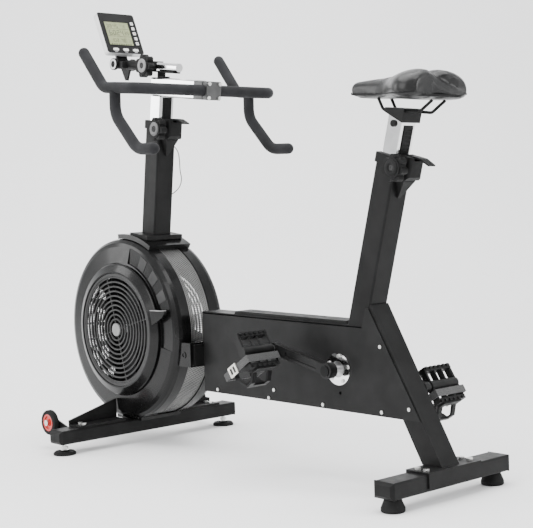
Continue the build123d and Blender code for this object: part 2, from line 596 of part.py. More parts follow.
def rack_post(z0, z1, rack0, rack1):
    """Chrome inner post with a slotted rack strip on its rear face."""
    shaft = box(-24, 24, -24, 24, z0, z1)
    shaft = fillet(shaft.edges().filter_by(Axis.Z), 4)
    shaft -= box(-21, 21, -21, 21, z0 - 1, z1 + 1)
    rack = box(24.05, 26.6, -14, 14, rack0, rack1)
    pitch = 2 * pi * RACK_PITCH_R / 14
    for i in range(int((rack1 - rack0 - 8) / pitch)):
        z = rack0 + 6 + pitch * i
        rack -= box(25.3, 29, -10, 10, z, z + 4.2)
    return shaft, rack


def collar(top):
    """Moulded collar over the outer tube's mouth, with the pinion housing and its tail behind."""
    body = box(-33, 33, -33, 33, top - 16, top + 7)
    body = fillet(body.edges().filter_by(Axis.Z), 4)
    housing = box(30, 70, -24, 24, top - 40, top + 14)
    housing = fillet(housing.edges().filter_by(Axis.Z).sort_by(Axis.X)[-2:], 8)
    housing = housing - xz_plate([(80, top - 60), (80, top - 20), (44, top - 60)], -40, 40)
    tail = yz_plate([(-22, top - 36), (22, top - 36), (4, top - 88), (-4, top - 88)], 30.1, 72)
    tail &= xz_plate([(30.1, top - 90), (33, top - 90), (56, top - 44), (56, top - 30), (30.1, top - 30)],
                     -40, 40)
    body += housing + tail
    body -= box(-30.08, 30.08, -30.08, 30.08, top - 100, top + 0.05)
    body -= box(-24.1, 27, -24.1, 24.1, top - 1, top + 20)
    body -= ycyl(PINION_X, top - PINION_DROP, 20.4, -9, 9)
    body -= box(20, PINION_X, -9, 9, top - PINION_DROP - 18, top - PINION_DROP + 18)
    body -= ycyl(PINION_X, top - PINION_DROP, 5.05, -60, 60)
    body -= box(40, 90, -12.2, 12.2, top + 6.9, top + 20)
    return body


def pinion_knob(top):
    """Star knob on the left, its cross shaft, and the pinion that runs on the rack."""
    knob = Pos(PINION_X, -35.2, top - PINION_DROP) * star_knob()
    shaft = ycyl(PINION_X, top - PINION_DROP, 5, -44, 30)
    knob -= ycyl(PINION_X, top - PINION_DROP, 5.02, -50.2, -30)
    pinion = yring(PINION_X, top - PINION_DROP, 15.5, 5.02, -7, 7)
    for i in range(14):
        t = 2 * pi * (i + 0.5) / 14
        tooth = box(14, 18.5, -7, 7, -1.6, 1.6)
        pinion += Pos(PINION_X, 0, top - PINION_DROP) * Rot(0, -degrees(t), 0) * tooth
    return knob, shaft, pinion


def lock_lever(top):
    """Flat release lever pivoting on the housing's top, curved down at its tip."""
    side = [(50, top + 7), (52, top + 7), (64, top + 13.1), (84, top + 13.1), (112, top + 5), (113, top + 8),
            (86, top + 17), (60, top + 17), (50, top + 15)]
    lever = xz_plate(side, -11.9, 11.9) + ycyl(50, top + 11, 4, -11.9, 11.9)
    lever -= ycyl(50, top + 11, 2.05, -20, 20)
    return lever


for name, frame, top in (("front", POST, POST_TOP), ("seat", SEAT, SEAT_TOP)):
    pin = ycyl(50, top + 11, 2, -23, 23)
    housing = collar(top) - ycyl(50, top + 11, 2.02, -23.1, 23.1)
    add(f"{name}_collar", frame * housing)
    add("fasteners", frame * pin)
    add(f"{name}_knob", *[frame * piece for piece in pinion_knob(top)])
    add(f"{name}_lever", frame * lock_lever(top))

# ---------------------------------------------------------------- bar post, stem, handlebar
BAR_LX, BAR_LZ = 206.7, 105.5      # handlebar centre in the front post's frame
STEM_HALF_H, STEM_HALF_W = 26.0, 20.0
shaft, rack = rack_post(-190, BAR_LZ - STEM_HALF_H - 0.05, -150, 78)
add("bar_post", local(POST, shaft), local(POST, rack))
stem = box(-27, BAR_LX - 38, -STEM_HALF_W, STEM_HALF_W, BAR_LZ - STEM_HALF_H, BAR_LZ + STEM_HALF_H)
stem = fillet(stem.edges().filter_by(Axis.X), 6)
stem -= box(-24, BAR_LX - 37, -STEM_HALF_W + 3, STEM_HALF_W - 3, BAR_LZ - 23, BAR_LZ + 23)
stem += box(BAR_LX - 41, BAR_LX - 38, -STEM_HALF_W, STEM_HALF_W, BAR_LZ - 24, BAR_LZ + 24)
add("stem", local(POST, stem))
clamp_rear = box(BAR_LX - 37.95, BAR_LX - 2, -24.5, 24.5, BAR_LZ - 24.5, BAR_LZ + 24.5)
clamp_rear = fillet(clamp_rear.edges().filter_by(Axis.X), 4)
clamp_face = box(BAR_LX + 2, BAR_LX + 19, -24.5, 24.5, BAR_LZ - 24.5, BAR_LZ + 24.5)
clamp_face = fillet(clamp_face.edges().filter_by(Axis.X), 4)
bore = ycyl(BAR_LX, BAR_LZ, BAR_TUBE_R + 0.05, -30, 30)
clamp_bolts = []
for y in (-18, 18):
    for z in (-18.5, 18.5):
        hole = xcyl(y, BAR_LZ + z, 3.05, BAR_LX - 30, BAR_LX + 30)
        clamp_rear -= hole
        clamp_face -= hole
        bolt = xcyl(y, BAR_LZ + z, 3, BAR_LX - 28, BAR_LX + 19)
        clamp_bolts.append(local(POST, bolt + xcyl(y, BAR_LZ + z, 5, BAR_LX + 19, BAR_LX + 23)))
add("stem", local(POST, clamp_rear - bore), local(POST, clamp_face - bore), *clamp_bolts)

BAR_X, BAR_Z = on_post(BAR_LX, BAR_LZ)
CORNER_X, CORNER_Z = -292.5, 992.0
TIP_X, TIP_Z = -373.0, 1090.0
DROP_X = -243.0


def side_line_z(x):
    """Height of the handlebar's side tube at an X."""
    return BAR_Z + (CORNER_Z - BAR_Z) * (x - BAR_X) / (CORNER_X - BAR_X)


def sweep_round(path, r):
    """Round bar along a path."""
    section = Plane(origin=path @ 0, z_dir=path % 0) * Circle(r)
    return sweep(section, path=path)


def bar_path(s, y_start):
    """Half of the bar: across, forward along the side, then up into the horn."""
    return FilletPolyline((BAR_X, s * y_start, BAR_Z), (BAR_X, s * GRIP_Y, BAR_Z),
                          (CORNER_X, s * GRIP_Y, CORNER_Z), (TIP_X, s * (GRIP_Y + 3), TIP_Z), radius=38)


def drop_path(s, gap):
    """Drop grip: down, diagonally back, then level."""
    top_z = side_line_z(DROP_X) - gap
    return FilletPolyline((DROP_X, s * GRIP_Y, top_z), (DROP_X - 1, s * GRIP_Y, 917), (-153, s * GRIP_Y, 823),
                          (-84, s * GRIP_Y, 821), radius=58)


tube = None
grips = []
for s in (-1, 1):
    half = sweep_round(bar_path(s, 0), BAR_TUBE_R)
    drop = sweep_round(drop_path(s, 0), BAR_TUBE_R)
    tube = half + drop if tube is None else tube + half + drop
    foam = sweep_round(bar_path(s, 26), FOAM_R)
    tip = Pos(TIP_X, s * (GRIP_Y + 3), TIP_Z) * Sphere(FOAM_R)
    foam += tip
    lower = sweep_round(drop_path(s, 15.2), FOAM_R) + Pos(-84, s * GRIP_Y, 821) * Sphere(FOAM_R)
    lower -= sweep_round(bar_path(s, 0), FOAM_R + 0.1)
    grips += [foam, lower]
add("handlebar_tube", tube)
for grip in grips:
    hollow = grip
    for s in (-1, 1):
        hollow = hollow - sweep_round(bar_path(s, 0), BAR_TUBE_R + 0.05)
        hollow = hollow - sweep_round(drop_path(s, 0), BAR_TUBE_R + 0.05)
    add("grips", hollow.solids().sort_by(SortBy.VOLUME)[-1])

# ---------------------------------------------------------------- console arm and console
ARM_LZ = 161.0
arm = xcyl(0, ARM_LZ, 12, -78, 72) - xcyl(0, ARM_LZ, 10, -90, 69)
sleeve = xcyl(0, ARM_LZ, 14, -165, -78.05)
saddle_block = box(-10, -4, -12, 12, BAR_LZ + STEM_HALF_H + 0.05, ARM_LZ - 12)
saddle_block += box(-10, 62, -12, 12, ARM_LZ - 16, ARM_LZ - 11)
saddle_block += box(-10, 16, -12, 12, BAR_LZ + STEM_HALF_H + 0.05, BAR_LZ + STEM_HALF_H + 4)
saddle_block = saddle_block - xcyl(0, ARM_LZ, 12.05, -100, 100)
sleeve += xcyl(0, ARM_LZ, 9.95, -78.1, -60)
lug = box(-52, -28, -21, 21, ARM_LZ - 15, ARM_LZ + 15) - xcyl(0, ARM_LZ, 12.05, -60, 0)
hinge_x = -190.0
for y0, y1 in ((-29, -22), (22, 29)):
    knuckle = ycyl(hinge_x, ARM_LZ, 13, y0, y1)
    knuckle += box(hinge_x, -158, y0, y1, ARM_LZ - 9, ARM_LZ + 9)
    sleeve += knuckle
sleeve += box(-163, -154, -29, 29, ARM_LZ - 9, ARM_LZ + 9)
sleeve -= ycyl(hinge_x, ARM_LZ, 4.05, -60, 60)
gusset = xz_plate([(-162, ARM_LZ - 9.05), (-120, ARM_LZ - 14.1), (-130, ARM_LZ - 44), (-138, ARM_LZ - 44)],
                  -29, -22)
add("console_arm", local(POST, arm), local(POST, sleeve), local(POST, saddle_block), local(POST, lug),
    local(POST, gusset))
knob = Pos(-40, -21.2, ARM_LZ) * star_knob() - ycyl(-40, ARM_LZ, 3.05, -31.1, -10)
add("console_knob", local(POST, knob))
add("console_arm", local(POST, ycyl(-40, ARM_LZ, 3, -31, -21)))
tilt_bolt = ycyl(hinge_x, ARM_LZ, 4, -31, 31)
for s in (-1, 1):
    tilt_bolt += ycyl(hinge_x, ARM_LZ, 17, s * 29.1, s * 36)
add("console_arm", local(POST, tilt_bolt))

CONSOLE = Location((-529.5, 0, 1175), (0, -23.1, 0))
CON_W, CON_H, CON_T = 127.6, 130.3, 24.0
bracket = ycyl(-28.3, -86.2, 13, -21.8, 21.8)
bracket += box(-31, -24.05, -18, 18, -84, -20)
bracket -= ycyl(-28.3, -86.2, 4.05, -40, 40)
add("console_bracket", local(CONSOLE, bracket))

housing = box(-CON_T, 0, -CON_W / 2, CON_W / 2, -CON_H / 2, CON_H / 2)
housing = fillet(housing.edges().filter_by(Axis.X), 7)
housing = chamfer(housing.faces().sort_by(Axis.X)[0].edges(), 6)
housing -= box(-CON_T + 3, -3, -CON_W / 2 + 4, CON_W / 2 - 4, -CON_H / 2 + 4, CON_H / 2 - 4)
LCD_Y, LCD_Z, LCD_W, LCD_H = -6.2, -1.0, 84.0, 75.0
lcd_box = box(-1.8, 1, LCD_Y - LCD_W / 2, LCD_Y + LCD_W / 2, LCD_Z - LCD_H / 2, LCD_Z + LCD_H / 2)
housing -= lcd_box
screen = box(-1.75, -0.5, LCD_Y - LCD_W / 2 + 0.1, LCD_Y + LCD_W / 2 - 0.1,
             LCD_Z - LCD_H / 2 + 0.1, LCD_Z + LCD_H / 2 - 0.1)
for i, z in enumerate((34.4, 18.2, 1.9, -14.9, -31.1)):
    key = box(-4.5, 1.4, 49.2 - 4.6, 49.2 + 4.6, z - 4.6, z + 4.6)
    key = fillet(key.edges().filter_by(Axis.X), 1.2)
    housing -= box(-6, 2, 49.2 - 4.9, 49.2 + 4.9, z - 4.9, z + 4.9)
    add(f"key_side_{i + 1}", local(CONSOLE, key))
for i, y in enumerate((-33.1, 1.5, 36.1)):
    face = Plane(origin=(-4.5, y, -53.8), x_dir=(0, 1, 0), z_dir=(1, 0, 0))
    key = extrude(face * SlotOverall(19, 8), 5.9)
    housing -= extrude(face * SlotOverall(19.6, 8.6), 8)
    add(f"key_lower_{i + 1}", local(CONSOLE, key))
add("console_housing", local(CONSOLE, housing))
add("console_screen", local(CONSOLE, screen))

# ---------------------------------------------------------------- saddle and its adjusters
shaft, rack = rack_post(60, 381, 90, 360)
bevel = xz_plate([(-40, 383.8), (40, 364.5), (40, 400), (-40, 400)], -40, 40)
shaft -= bevel
add("seat_post", local(SEAT, shaft), local(SEAT, rack))

RAIL_Y, RAIL_R = 22.0, 3.5
rail_line = [(-62, 406), (-41, 383), (66, 398.6), (97, 432)]


def rail(y):
    """Bent saddle rail in the seat tube's frame."""
    path = FilletPolyline(*[(x, y, z) for x, z in rail_line], radius=14)
    return sweep_round(path, RAIL_R)


carriage = xz_plate([(-29, 381.3), (29, 367.3), (29, 400), (-29, 391.5)], -31, 31)
saddle_rails = []
for y in (-RAIL_Y, RAIL_Y):
    saddle_rails.append(local(SEAT, rail(y)))
    carriage -= xz_plate([(-45, 382.4 - 3.65), (66, 398.6 - 3.65), (66, 398.6 + 3.65), (-45, 382.4 + 3.65)],
                         y - 3.65, y + 3.65)
add("seat_carriage", *local(SEAT, carriage).solids())
cross = ycyl(0, 360, 4.5, -28, 28)
shaft_hole = ycyl(0, 360, 4.55, -40, 40)
pieces["seat_post"][0] = (pieces["seat_post"][0] - local(SEAT, shaft_hole)).solids()[0]
cross += ycyl(0, 360, 8, -28, -24.05) + ycyl(0, 360, 8, 24.05, 28)
add("seat_carriage", local(SEAT, cross))


def saddle_section(x, half_w, low, top):
    """Rounded cross-section of the saddle at an X."""
    half_h = (top - low) / 2
    across = Plane(origin=(x, 0, low + half_h), x_dir=(0, 1, 0), z_dir=(1, 0, 0))
    return across * Ellipse(half_w, half_h)


saddle_rows = [(404, 9, 926, 938), (418, 19, 916, 945), (470, 27, 906, 949), (530, 42, 900, 951),
               (585, 84, 893, 957), (625, 108, 886, 960), (655, 100, 884, 956), (668, 74, 894, 942)]
saddle = loft([saddle_section(*row) for row in saddle_rows])
BELLY = [(380, 935), (404, 922), (470, 914), (560, 908), (640, 904), (700, 902)]
base_cut = xz_plate(BELLY + [(700, 800), (380, 800)], -130, 130)
pad = (saddle - base_cut).solids().sort_by(SortBy.VOLUME)[-1]
add("saddle", pad)
above = xz_plate([(x, z - 0.1) for x, z in BELLY] + [(700, 1000), (380, 1000)], -130, 130)
below = xz_plate([(x, z - 5.6) for x, z in BELLY] + [(700, 800), (380, 800)], -130, 130)
base = (saddle - above - below).solids().sort_by(SortBy.VOLUME)[-1]
for saddle_rail in saddle_rails:
    base -= saddle_rail
add("saddle_frame", base.solids().sort_by(SortBy.VOLUME)[-1], *saddle_rails)

# ---------------------------------------------------------------- sensor cable
CABLE_R = 1.3
cable_points = [(31.5, 24, -56), (44, 30, -66), (50, 33, -95), (51, 35, -125), (60, 37, -148), (50, 34, -178),
                (31.5, 24, -192)]
cable_radii = []
for before, here, after in zip(cable_points, cable_points[1:], cable_points[2:]):
    arriving = Vector(*here) - Vector(*before)
    leaving = Vector(*after) - Vector(*here)
    turn = acos(arriving.normalized().dot(leaving.normalized()))
    cable_radii.append(0.45 * min(arriving.length, leaving.length) / tan(turn / 2))
print("cable radii", cable_radii)
cable_path = FilletPolyline(*cable_points, radius=cable_radii)
print("cable length", cable_path.length)
add("sensor_cable", local(POST, sweep_round(cable_path, CABLE_R)))

# ---------------------------------------------------------------- export
for name, solids in pieces.items():
    placed = [Pos(DATUM_X, 0, 0) * solid for solid in solids]
    shape = placed[0] if len(placed) == 1 else Compound(children=placed)
    export_step(shape, f"parts/{name}.step")
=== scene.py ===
import math

import bpy
import bmesh
import numpy as np
from mathutils import Matrix, Vector


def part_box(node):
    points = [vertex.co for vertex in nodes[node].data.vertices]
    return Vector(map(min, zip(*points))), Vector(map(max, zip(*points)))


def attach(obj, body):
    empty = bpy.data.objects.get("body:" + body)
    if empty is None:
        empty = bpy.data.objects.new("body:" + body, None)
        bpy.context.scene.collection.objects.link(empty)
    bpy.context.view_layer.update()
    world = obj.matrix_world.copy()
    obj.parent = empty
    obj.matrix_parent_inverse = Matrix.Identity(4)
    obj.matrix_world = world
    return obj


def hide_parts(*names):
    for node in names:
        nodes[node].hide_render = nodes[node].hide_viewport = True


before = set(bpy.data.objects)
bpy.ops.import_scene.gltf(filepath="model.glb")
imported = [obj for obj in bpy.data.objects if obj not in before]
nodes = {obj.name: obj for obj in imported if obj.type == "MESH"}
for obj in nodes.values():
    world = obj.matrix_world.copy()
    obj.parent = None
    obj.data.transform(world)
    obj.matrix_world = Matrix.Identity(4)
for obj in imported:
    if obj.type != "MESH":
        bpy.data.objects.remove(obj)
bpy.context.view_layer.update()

DATUM = 0.0165
FAN = Vector((-0.462 + DATUM, 0.0, 0.328))
POST = Matrix.Translation((-0.3545 + DATUM, 0, 0.9)) @ Matrix.Rotation(math.radians(7.55), 4, "Y")
CONSOLE = Matrix.Translation((-0.5295 + DATUM, 0, 1.175)) @ Matrix.Rotation(math.radians(-23.1), 4, "Y")


# ------------------------------------------------------------------ node helpers
class Graph:
    """A material's node tree with short ways to add and link nodes."""

    def __init__(self, name):
        self.mat = bpy.data.materials.new(name)
        self.mat.use_nodes = True
        self.tree = self.mat.node_tree
        self.bsdf = self.tree.nodes["Principled BSDF"]
        self.coords = self.tree.nodes.new("ShaderNodeTexCoord").outputs["Object"]

    def link(self, a, b):
        self.tree.links.new(a, b)

    def noise(self, scale, detail=4.0, rough=0.55, stretch=None):
        n = self.tree.nodes.new("ShaderNodeTexNoise")
        n.inputs["Scale"].default_value = scale
        n.inputs["Detail"].default_value = detail
        n.inputs["Roughness"].default_value = rough
        self.link(self.stretched(stretch), n.inputs["Vector"])
        return n.outputs["Fac"]

    def cells(self, scale, feature="F1", stretch=None, out="Distance"):
        n = self.tree.nodes.new("ShaderNodeTexVoronoi")
        n.feature = feature
        n.inputs["Scale"].default_value = scale
        self.link(self.stretched(stretch), n.inputs["Vector"])
        return n.outputs[out]

    def stretched(self, stretch):
        if stretch is None:
            return self.coords
        m = self.tree.nodes.new("ShaderNodeMapping")
        m.inputs["Scale"].default_value = stretch
        self.link(self.coords, m.inputs["Vector"])
        return m.outputs["Vector"]

    def ramp(self, fac, low, high, a=0.35, b=0.65):
        n = self.tree.nodes.new("ShaderNodeValToRGB")
        n.color_ramp.elements[0].position = a
        n.color_ramp.elements[1].position = b
        n.color_ramp.elements[0].color = colour(low)
        n.color_ramp.elements[1].color = colour(high)
        self.link(fac, n.inputs["Fac"])
        return n.outputs["Color"]

    def range(self, fac, low, high, a=0.3, b=0.7):
        n = self.tree.nodes.new("ShaderNodeMapRange")
        n.inputs["From Min"].default_value = a
        n.inputs["From Max"].default_value = b
        n.inputs["To Min"].default_value = low
        n.inputs["To Max"].default_value = high
        self.link(fac, n.inputs["Value"])
        return n.outputs["Result"]

    def bump(self, height, strength, distance, under=None):
        n = self.tree.nodes.new("ShaderNodeBump")
        n.inputs["Strength"].default_value = strength
        n.inputs["Distance"].default_value = distance
        self.link(height, n.inputs["Height"])
        if under is not None:
            self.link(under, n.inputs["Normal"])
        return n.outputs["Normal"]


def colour(c):
    return (c, c, c, 1) if isinstance(c, float) else (*c, 1)


def finish_mat(name, low, high, rough, grain, metal=0.0, depth=0.0002, patch=14.0, strength=0.25,
               coat=0.0, stretch=None, grain_detail=3.0, specular=0.5):
    """A two-tone surface: broad colour patches, roughness smudges and a fine grain in relief."""
    g = Graph(name)
    broad = g.noise(patch, 5.0)
    g.link(g.ramp(broad, low, high), g.bsdf.inputs["Base Color"])
    smudge = g.noise(patch * 2.3, 6.0, 0.65)
    g.link(g.range(smudge, rough[0], rough[1]), g.bsdf.inputs["Roughness"])
    fine = g.noise(grain, grain_detail, 0.6, stretch)
    g.link(g.bump(fine, strength, depth), g.bsdf.inputs["Normal"])
    g.bsdf.inputs["Metallic"].default_value = metal
    g.bsdf.inputs["Coat Weight"].default_value = coat
    g.bsdf.inputs["Coat Roughness"].default_value = 0.06
    g.bsdf.inputs["Specular IOR Level"].default_value = specular
    return g.mat


MATS = {
    "powder": finish_mat("powder_coat", 0.0045, 0.0085, (0.36, 0.5), 950.0, depth=0.00025,
                         strength=0.3, specular=0.12),
    "panel": finish_mat("panel_coat", 0.006, 0.011, (0.36, 0.5), 850.0, depth=0.00025,
                        strength=0.3, specular=0.14),
    "plastic": finish_mat("moulded_plastic", 0.004, 0.009, (0.42, 0.6), 1500.0, depth=0.0002,
                          strength=0.3, specular=0.12),
    "resin": finish_mat("pedal_resin", 0.005, 0.011, (0.35, 0.55), 1100.0, depth=0.0003,
                        strength=0.35, specular=0.16),
    "rubber": finish_mat("rubber", 0.006, 0.013, (0.68, 0.85), 700.0, depth=0.0003,
                         strength=0.3, specular=0.14),
    "shell": finish_mat("gloss_shell", 0.003, 0.006, (0.16, 0.28), 90.0, depth=0.00015, strength=0.05,
                        coat=0.1, specular=0.16),
    "mark": finish_mat("scale_mark", 0.006, 0.01, (0.5, 0.65), 1400.0),
    "grille": finish_mat("grille_ring", 0.018, 0.032, (0.3, 0.45), 500.0, specular=0.2),
    "spoke": finish_mat("grille_spoke", 0.16, 0.24, (0.3, 0.45), 500.0),
    # Near-black: the fan rotor's own dark finish, and painted shade on the inner face of the cage band.
    "dark_rotor_and_band_shade": finish_mat("fan_dark_and_band_painted_shade", 0.003, 0.006, (0.5, 0.7), 300.0, specular=0.2),
    "chrome": finish_mat("chrome", 0.72, 0.86, (0.05, 0.14), 60.0, metal=1.0, depth=0.0001, strength=0.04),
    "zinc": finish_mat("zinc", (0.50, 0.50, 0.49), (0.72, 0.72, 0.70), (0.22, 0.4), 900.0, metal=1.0,
                       patch=60.0),
    "steel": finish_mat("turned_steel", 0.38, 0.56, (0.25, 0.4), 600.0, metal=1.0, stretch=(1, 0.05, 1)),
    "forged": finish_mat("forged_arm", 0.005, 0.010, (0.28, 0.42), 500.0, depth=0.0004, strength=0.25,
                         specular=0.22),
    "red": finish_mat("wheel_hub_red", (0.42, 0.015, 0.01), (0.62, 0.03, 0.02), (0.3, 0.45), 900.0,
                      coat=0.3),
    "buckle": finish_mat("buckle_metal", (0.55, 0.54, 0.50), (0.78, 0.77, 0.72), (0.3, 0.5),
                         1200.0, metal=0.9, patch=80.0),
    "clamp": finish_mat("clamp_cast", 0.06, 0.10, (0.35, 0.5), 900.0, metal=0.6, depth=0.0003,
                        strength=0.3),
    "case_side": finish_mat("console_side", 0.50, 0.62, (0.3, 0.42), 1500.0, metal=0.3),
    "case_face": finish_mat("console_face", 0.006, 0.010, (0.25, 0.38), 1800.0, specular=0.18),
    "knob_ring": finish_mat("knob_ring", 0.05, 0.09, (0.35, 0.5), 1200.0, patch=60.0),
    # Pale grey: the console knob's own light ring, and the painted highlight strip along the damper wing's
    # leading edge.
    "pale_ring_and_wing_highlight": finish_mat("pale_ring_and_wing_highlight", 0.15, 0.21, (0.35, 0.5), 1200.0, patch=60.0),
    # Painted shade: near-black for the flat disc that stands in for the shaded hole in each knob face.
    "centre_shade_disc": finish_mat("knob_centre_painted_shade", 0.004, 0.007, (0.6, 0.8), 900.0),
    "key": finish_mat("key_plastic", (0.62, 0.62, 0.60), (0.74, 0.74, 0.72), (0.4, 0.5), 2500.0,
                      patch=120.0),
    "key_mark": finish_mat("key_mark", 0.02, 0.04, (0.4, 0.5), 2500.0),
    "key_red": finish_mat("key_mark_red", (0.45, 0.05, 0.04), (0.55, 0.08, 0.06), (0.4, 0.5), 2500.0),
    "segment": finish_mat("lcd_segment", (0.018, 0.022, 0.014), (0.03, 0.034, 0.024), (0.2, 0.3), 2000.0),
    "label": finish_mat("key_label", 0.45, 0.6, (0.4, 0.5), 2500.0),
}


def mesh_band_mat():
    """Light painted perforated sheet with broad patches of tone."""
    g = Graph("perforated_sheet")
    broad = g.noise(9.0, 5.0)
    g.link(g.ramp(broad, (0.13, 0.13, 0.128), (0.20, 0.20, 0.195)), g.bsdf.inputs["Base Color"])
    g.link(g.range(g.noise(40.0), 0.36, 0.55), g.bsdf.inputs["Roughness"])
    g.link(g.bump(g.noise(1500.0), 0.2, 0.0002), g.bsdf.inputs["Normal"])
    g.bsdf.inputs["Metallic"].default_value = 0.55
    return g.mat


def foam_mat():
    """Closed-cell foam: matte, slightly pitted, faintly paler where hands rub it."""
    g = Graph("foam")
    rub = g.noise(11.0, 5.0)
    g.link(g.ramp(rub, (0.010, 0.010, 0.011), (0.020, 0.020, 0.022)), g.bsdf.inputs["Base Color"])
    g.link(g.range(g.noise(30.0), 0.72, 0.9), g.bsdf.inputs["Roughness"])
    pits = g.bump(g.cells(1300.0), 0.35, 0.0005)
    g.link(g.bump(g.noise(260.0, 4.0), 0.25, 0.0006, pits), g.bsdf.inputs["Normal"])
    g.bsdf.inputs["Sheen Weight"].default_value = 0.04
    g.bsdf.inputs["Specular IOR Level"].default_value = 0.14
    return g.mat


def vinyl_mat():
    """Glossy grained vinyl with creases that run across the saddle."""
    g = Graph("vinyl")
    broad = g.noise(18.0, 5.0)
    g.link(g.ramp(broad, 0.0045, 0.009), g.bsdf.inputs["Base Color"])
    g.link(g.range(g.noise(45.0, 5.0), 0.26, 0.42), g.bsdf.inputs["Roughness"])
    grain = g.bump(g.cells(620.0, "SMOOTH_F1"), 0.3, 0.0005)
    g.link(g.bump(g.noise(60.0, 3.0, 0.5, (1.0, 2.6, 1.0)), 0.18, 0.0015, grain),
           g.bsdf.inputs["Normal"])
    g.bsdf.inputs["Coat Weight"].default_value = 0.15
    g.bsdf.inputs["Coat Roughness"].default_value = 0.2
    g.bsdf.inputs["Specular IOR Level"].default_value = 0.24
    return g.mat


def webbing_mat():
    """Woven nylon strap with a diagonal rib."""
    g = Graph("webbing")
    wave = g.tree.nodes.new("ShaderNodeTexWave")
    wave.inputs["Scale"].default_value = 220.0
    wave.inputs["Distortion"].default_value = 0.6
    wave.bands_direction = "DIAGONAL"
    g.link(g.coords, wave.inputs["Vector"])
    g.link(g.ramp(wave.outputs["Fac"], 0.006, 0.018, 0.3, 0.7), g.bsdf.inputs["Base Color"])
    g.link(g.range(g.noise(60.0), 0.6, 0.8), g.bsdf.inputs["Roughness"])
    g.link(g.bump(wave.outputs["Fac"], 0.6, 0.0006), g.bsdf.inputs["Normal"])
    g.bsdf.inputs["Sheen Weight"].default_value = 0.3
    return g.mat


def lcd_mat():
    """Grey-green liquid crystal panel with a faint mottled backing."""
    g = Graph("lcd_panel")
    g.link(g.ramp(g.noise(90.0, 4.0), (0.21, 0.235, 0.125), (0.27, 0.295, 0.165)),
           g.bsdf.inputs["Base Color"])
    g.link(g.range(g.noise(50.0), 0.12, 0.22), g.bsdf.inputs["Roughness"])
    g.link(g.bump(g.noise(1800.0), 0.05, 0.0001), g.bsdf.inputs["Normal"])
    g.bsdf.inputs["Coat Weight"].default_value = 0.5
    return g.mat


def cable_mat():
    """Smooth black cable sheath."""
    g = Graph("cable_sheath")
    g.link(g.ramp(g.noise(80.0), 0.012, 0.022), g.bsdf.inputs["Base Color"])
    g.link(g.range(g.noise(120.0), 0.4, 0.55), g.bsdf.inputs["Roughness"])
    g.link(g.bump(g.noise(1400.0), 0.2, 0.0002), g.bsdf.inputs["Normal"])
    return g.mat


MATS["sheet"] = mesh_band_mat()
MATS["foam"] = foam_mat()
MATS["vinyl"] = vinyl_mat()
MATS["webbing"] = webbing_mat()
MATS["lcd"] = lcd_mat()
MATS["cable"] = cable_mat()


# ------------------------------------------------------------------ painting CAD nodes by solid
def solids_of(obj):
    """Which solid each face of a CAD node belongs to, and each solid's box."""
    me = obj.data
    co = np.empty(len(me.vertices) * 3)
    me.vertices.foreach_get("co", co)
    co = co.reshape(-1, 3)
    keys = {}
    same = [keys.setdefault(tuple(p), i) for i, p in enumerate(np.round(co, 6).tolist())]
    root = list(range(len(co)))

    def find(i):
        while root[i] != i:
            root[i] = root[root[i]]
            i = root[i]
        return i

    for poly in me.polygons:
        first = find(same[poly.vertices[0]])
        for v in poly.vertices[1:]:
            other = find(same[v])
            if other != first:
                root[other] = first
    owner = np.array([find(i) for i in same])
    boxes = {k: (co[owner == k].min(0), co[owner == k].max(0)) for k in set(owner.tolist())}
    return [int(owner[p.vertices[0]]) for p in me.polygons], boxes


def paint(name, default, rule=None):
    """Give a CAD node its material, or several picked by rule(lo, hi, centre, normal).

    lo and hi bound the solid that a face belongs to, in metres.
    """
    me = nodes[name].data
    me.materials.clear()
    me.materials.append(MATS[default])
    if rule is None:
        for poly in me.polygons:
            poly.material_index = 0
        return
    slots = {default: 0}
    owner, boxes = solids_of(nodes[name])
    for poly, own in zip(me.polygons, owner):
        lo, hi = boxes[own]
        pick = rule(lo, hi, poly.center, poly.normal) or default
        if pick not in slots:
            slots[pick] = len(me.materials)
            me.materials.append(MATS[pick])
        poly.material_index = slots[pick]


def size_of(lo, hi):
    return hi - lo


for plain in ("front_bar", "rear_bar", "rear_leg", "seat_tube", "main_box", "front_post",
              "bar_brackets", "seat_carriage", "handlebar_tube", "console_bracket"):
    paint(plain, "powder")
for plain in ("side_panel_left", "side_panel_right"):
    paint(plain, "panel")
for plain in ("bar_caps", "seat_collar", "front_collar", "seat_lever", "front_lever", "crank_pulley",
              "console_knob", "seat_knob", "front_knob"):
    paint(plain, "plastic")
for plain in ("cage_shell_left", "cage_shell_right", "damper_ring"):
    paint(plain, "shell")
for plain in ("crank_arm_left", "crank_arm_right"):
    paint(plain, "forged")
for plain in ("pedal_left", "pedal_right"):
    paint(plain, "resin")
paint("drive_belts", "rubber")
paint("fan_rotor", "dark_rotor_and_band_shade")
paint("jackshaft", "steel")
paint("console_screen", "lcd")
for key_number in range(1, 6):
    paint(f"key_side_{key_number}", "key")
for key_number in range(1, 4):
    paint(f"key_lower_{key_number}", "key")


# Solids that share a node are told apart by their size in metres.
FOOT_DISC_W, FOOT_DISC_TOP, FOOT_STUD_R = 0.055, 0.0095, 0.0105
HIGH_FASTENER_Z = 0.7
MARK_THICK = 0.002
STRIP_LEN, STRIP_TALL = 0.35, 0.03
GRILLE_HUB_R = 0.0185
BEARING_W = 0.045
WHEEL_HUB_W = 0.06
AXLE_CAP_THICK = 0.004
STRAP_W, BUCKLE_W = 0.09, 0.01
RACK_W = 0.04
CLAMP_W, CLAMP_BOLT_W = 0.045, 0.015
ARM_TUBE_LEN, ARM_TUBE_W, ARM_HINGE_W = 0.14, 0.025, 0.05


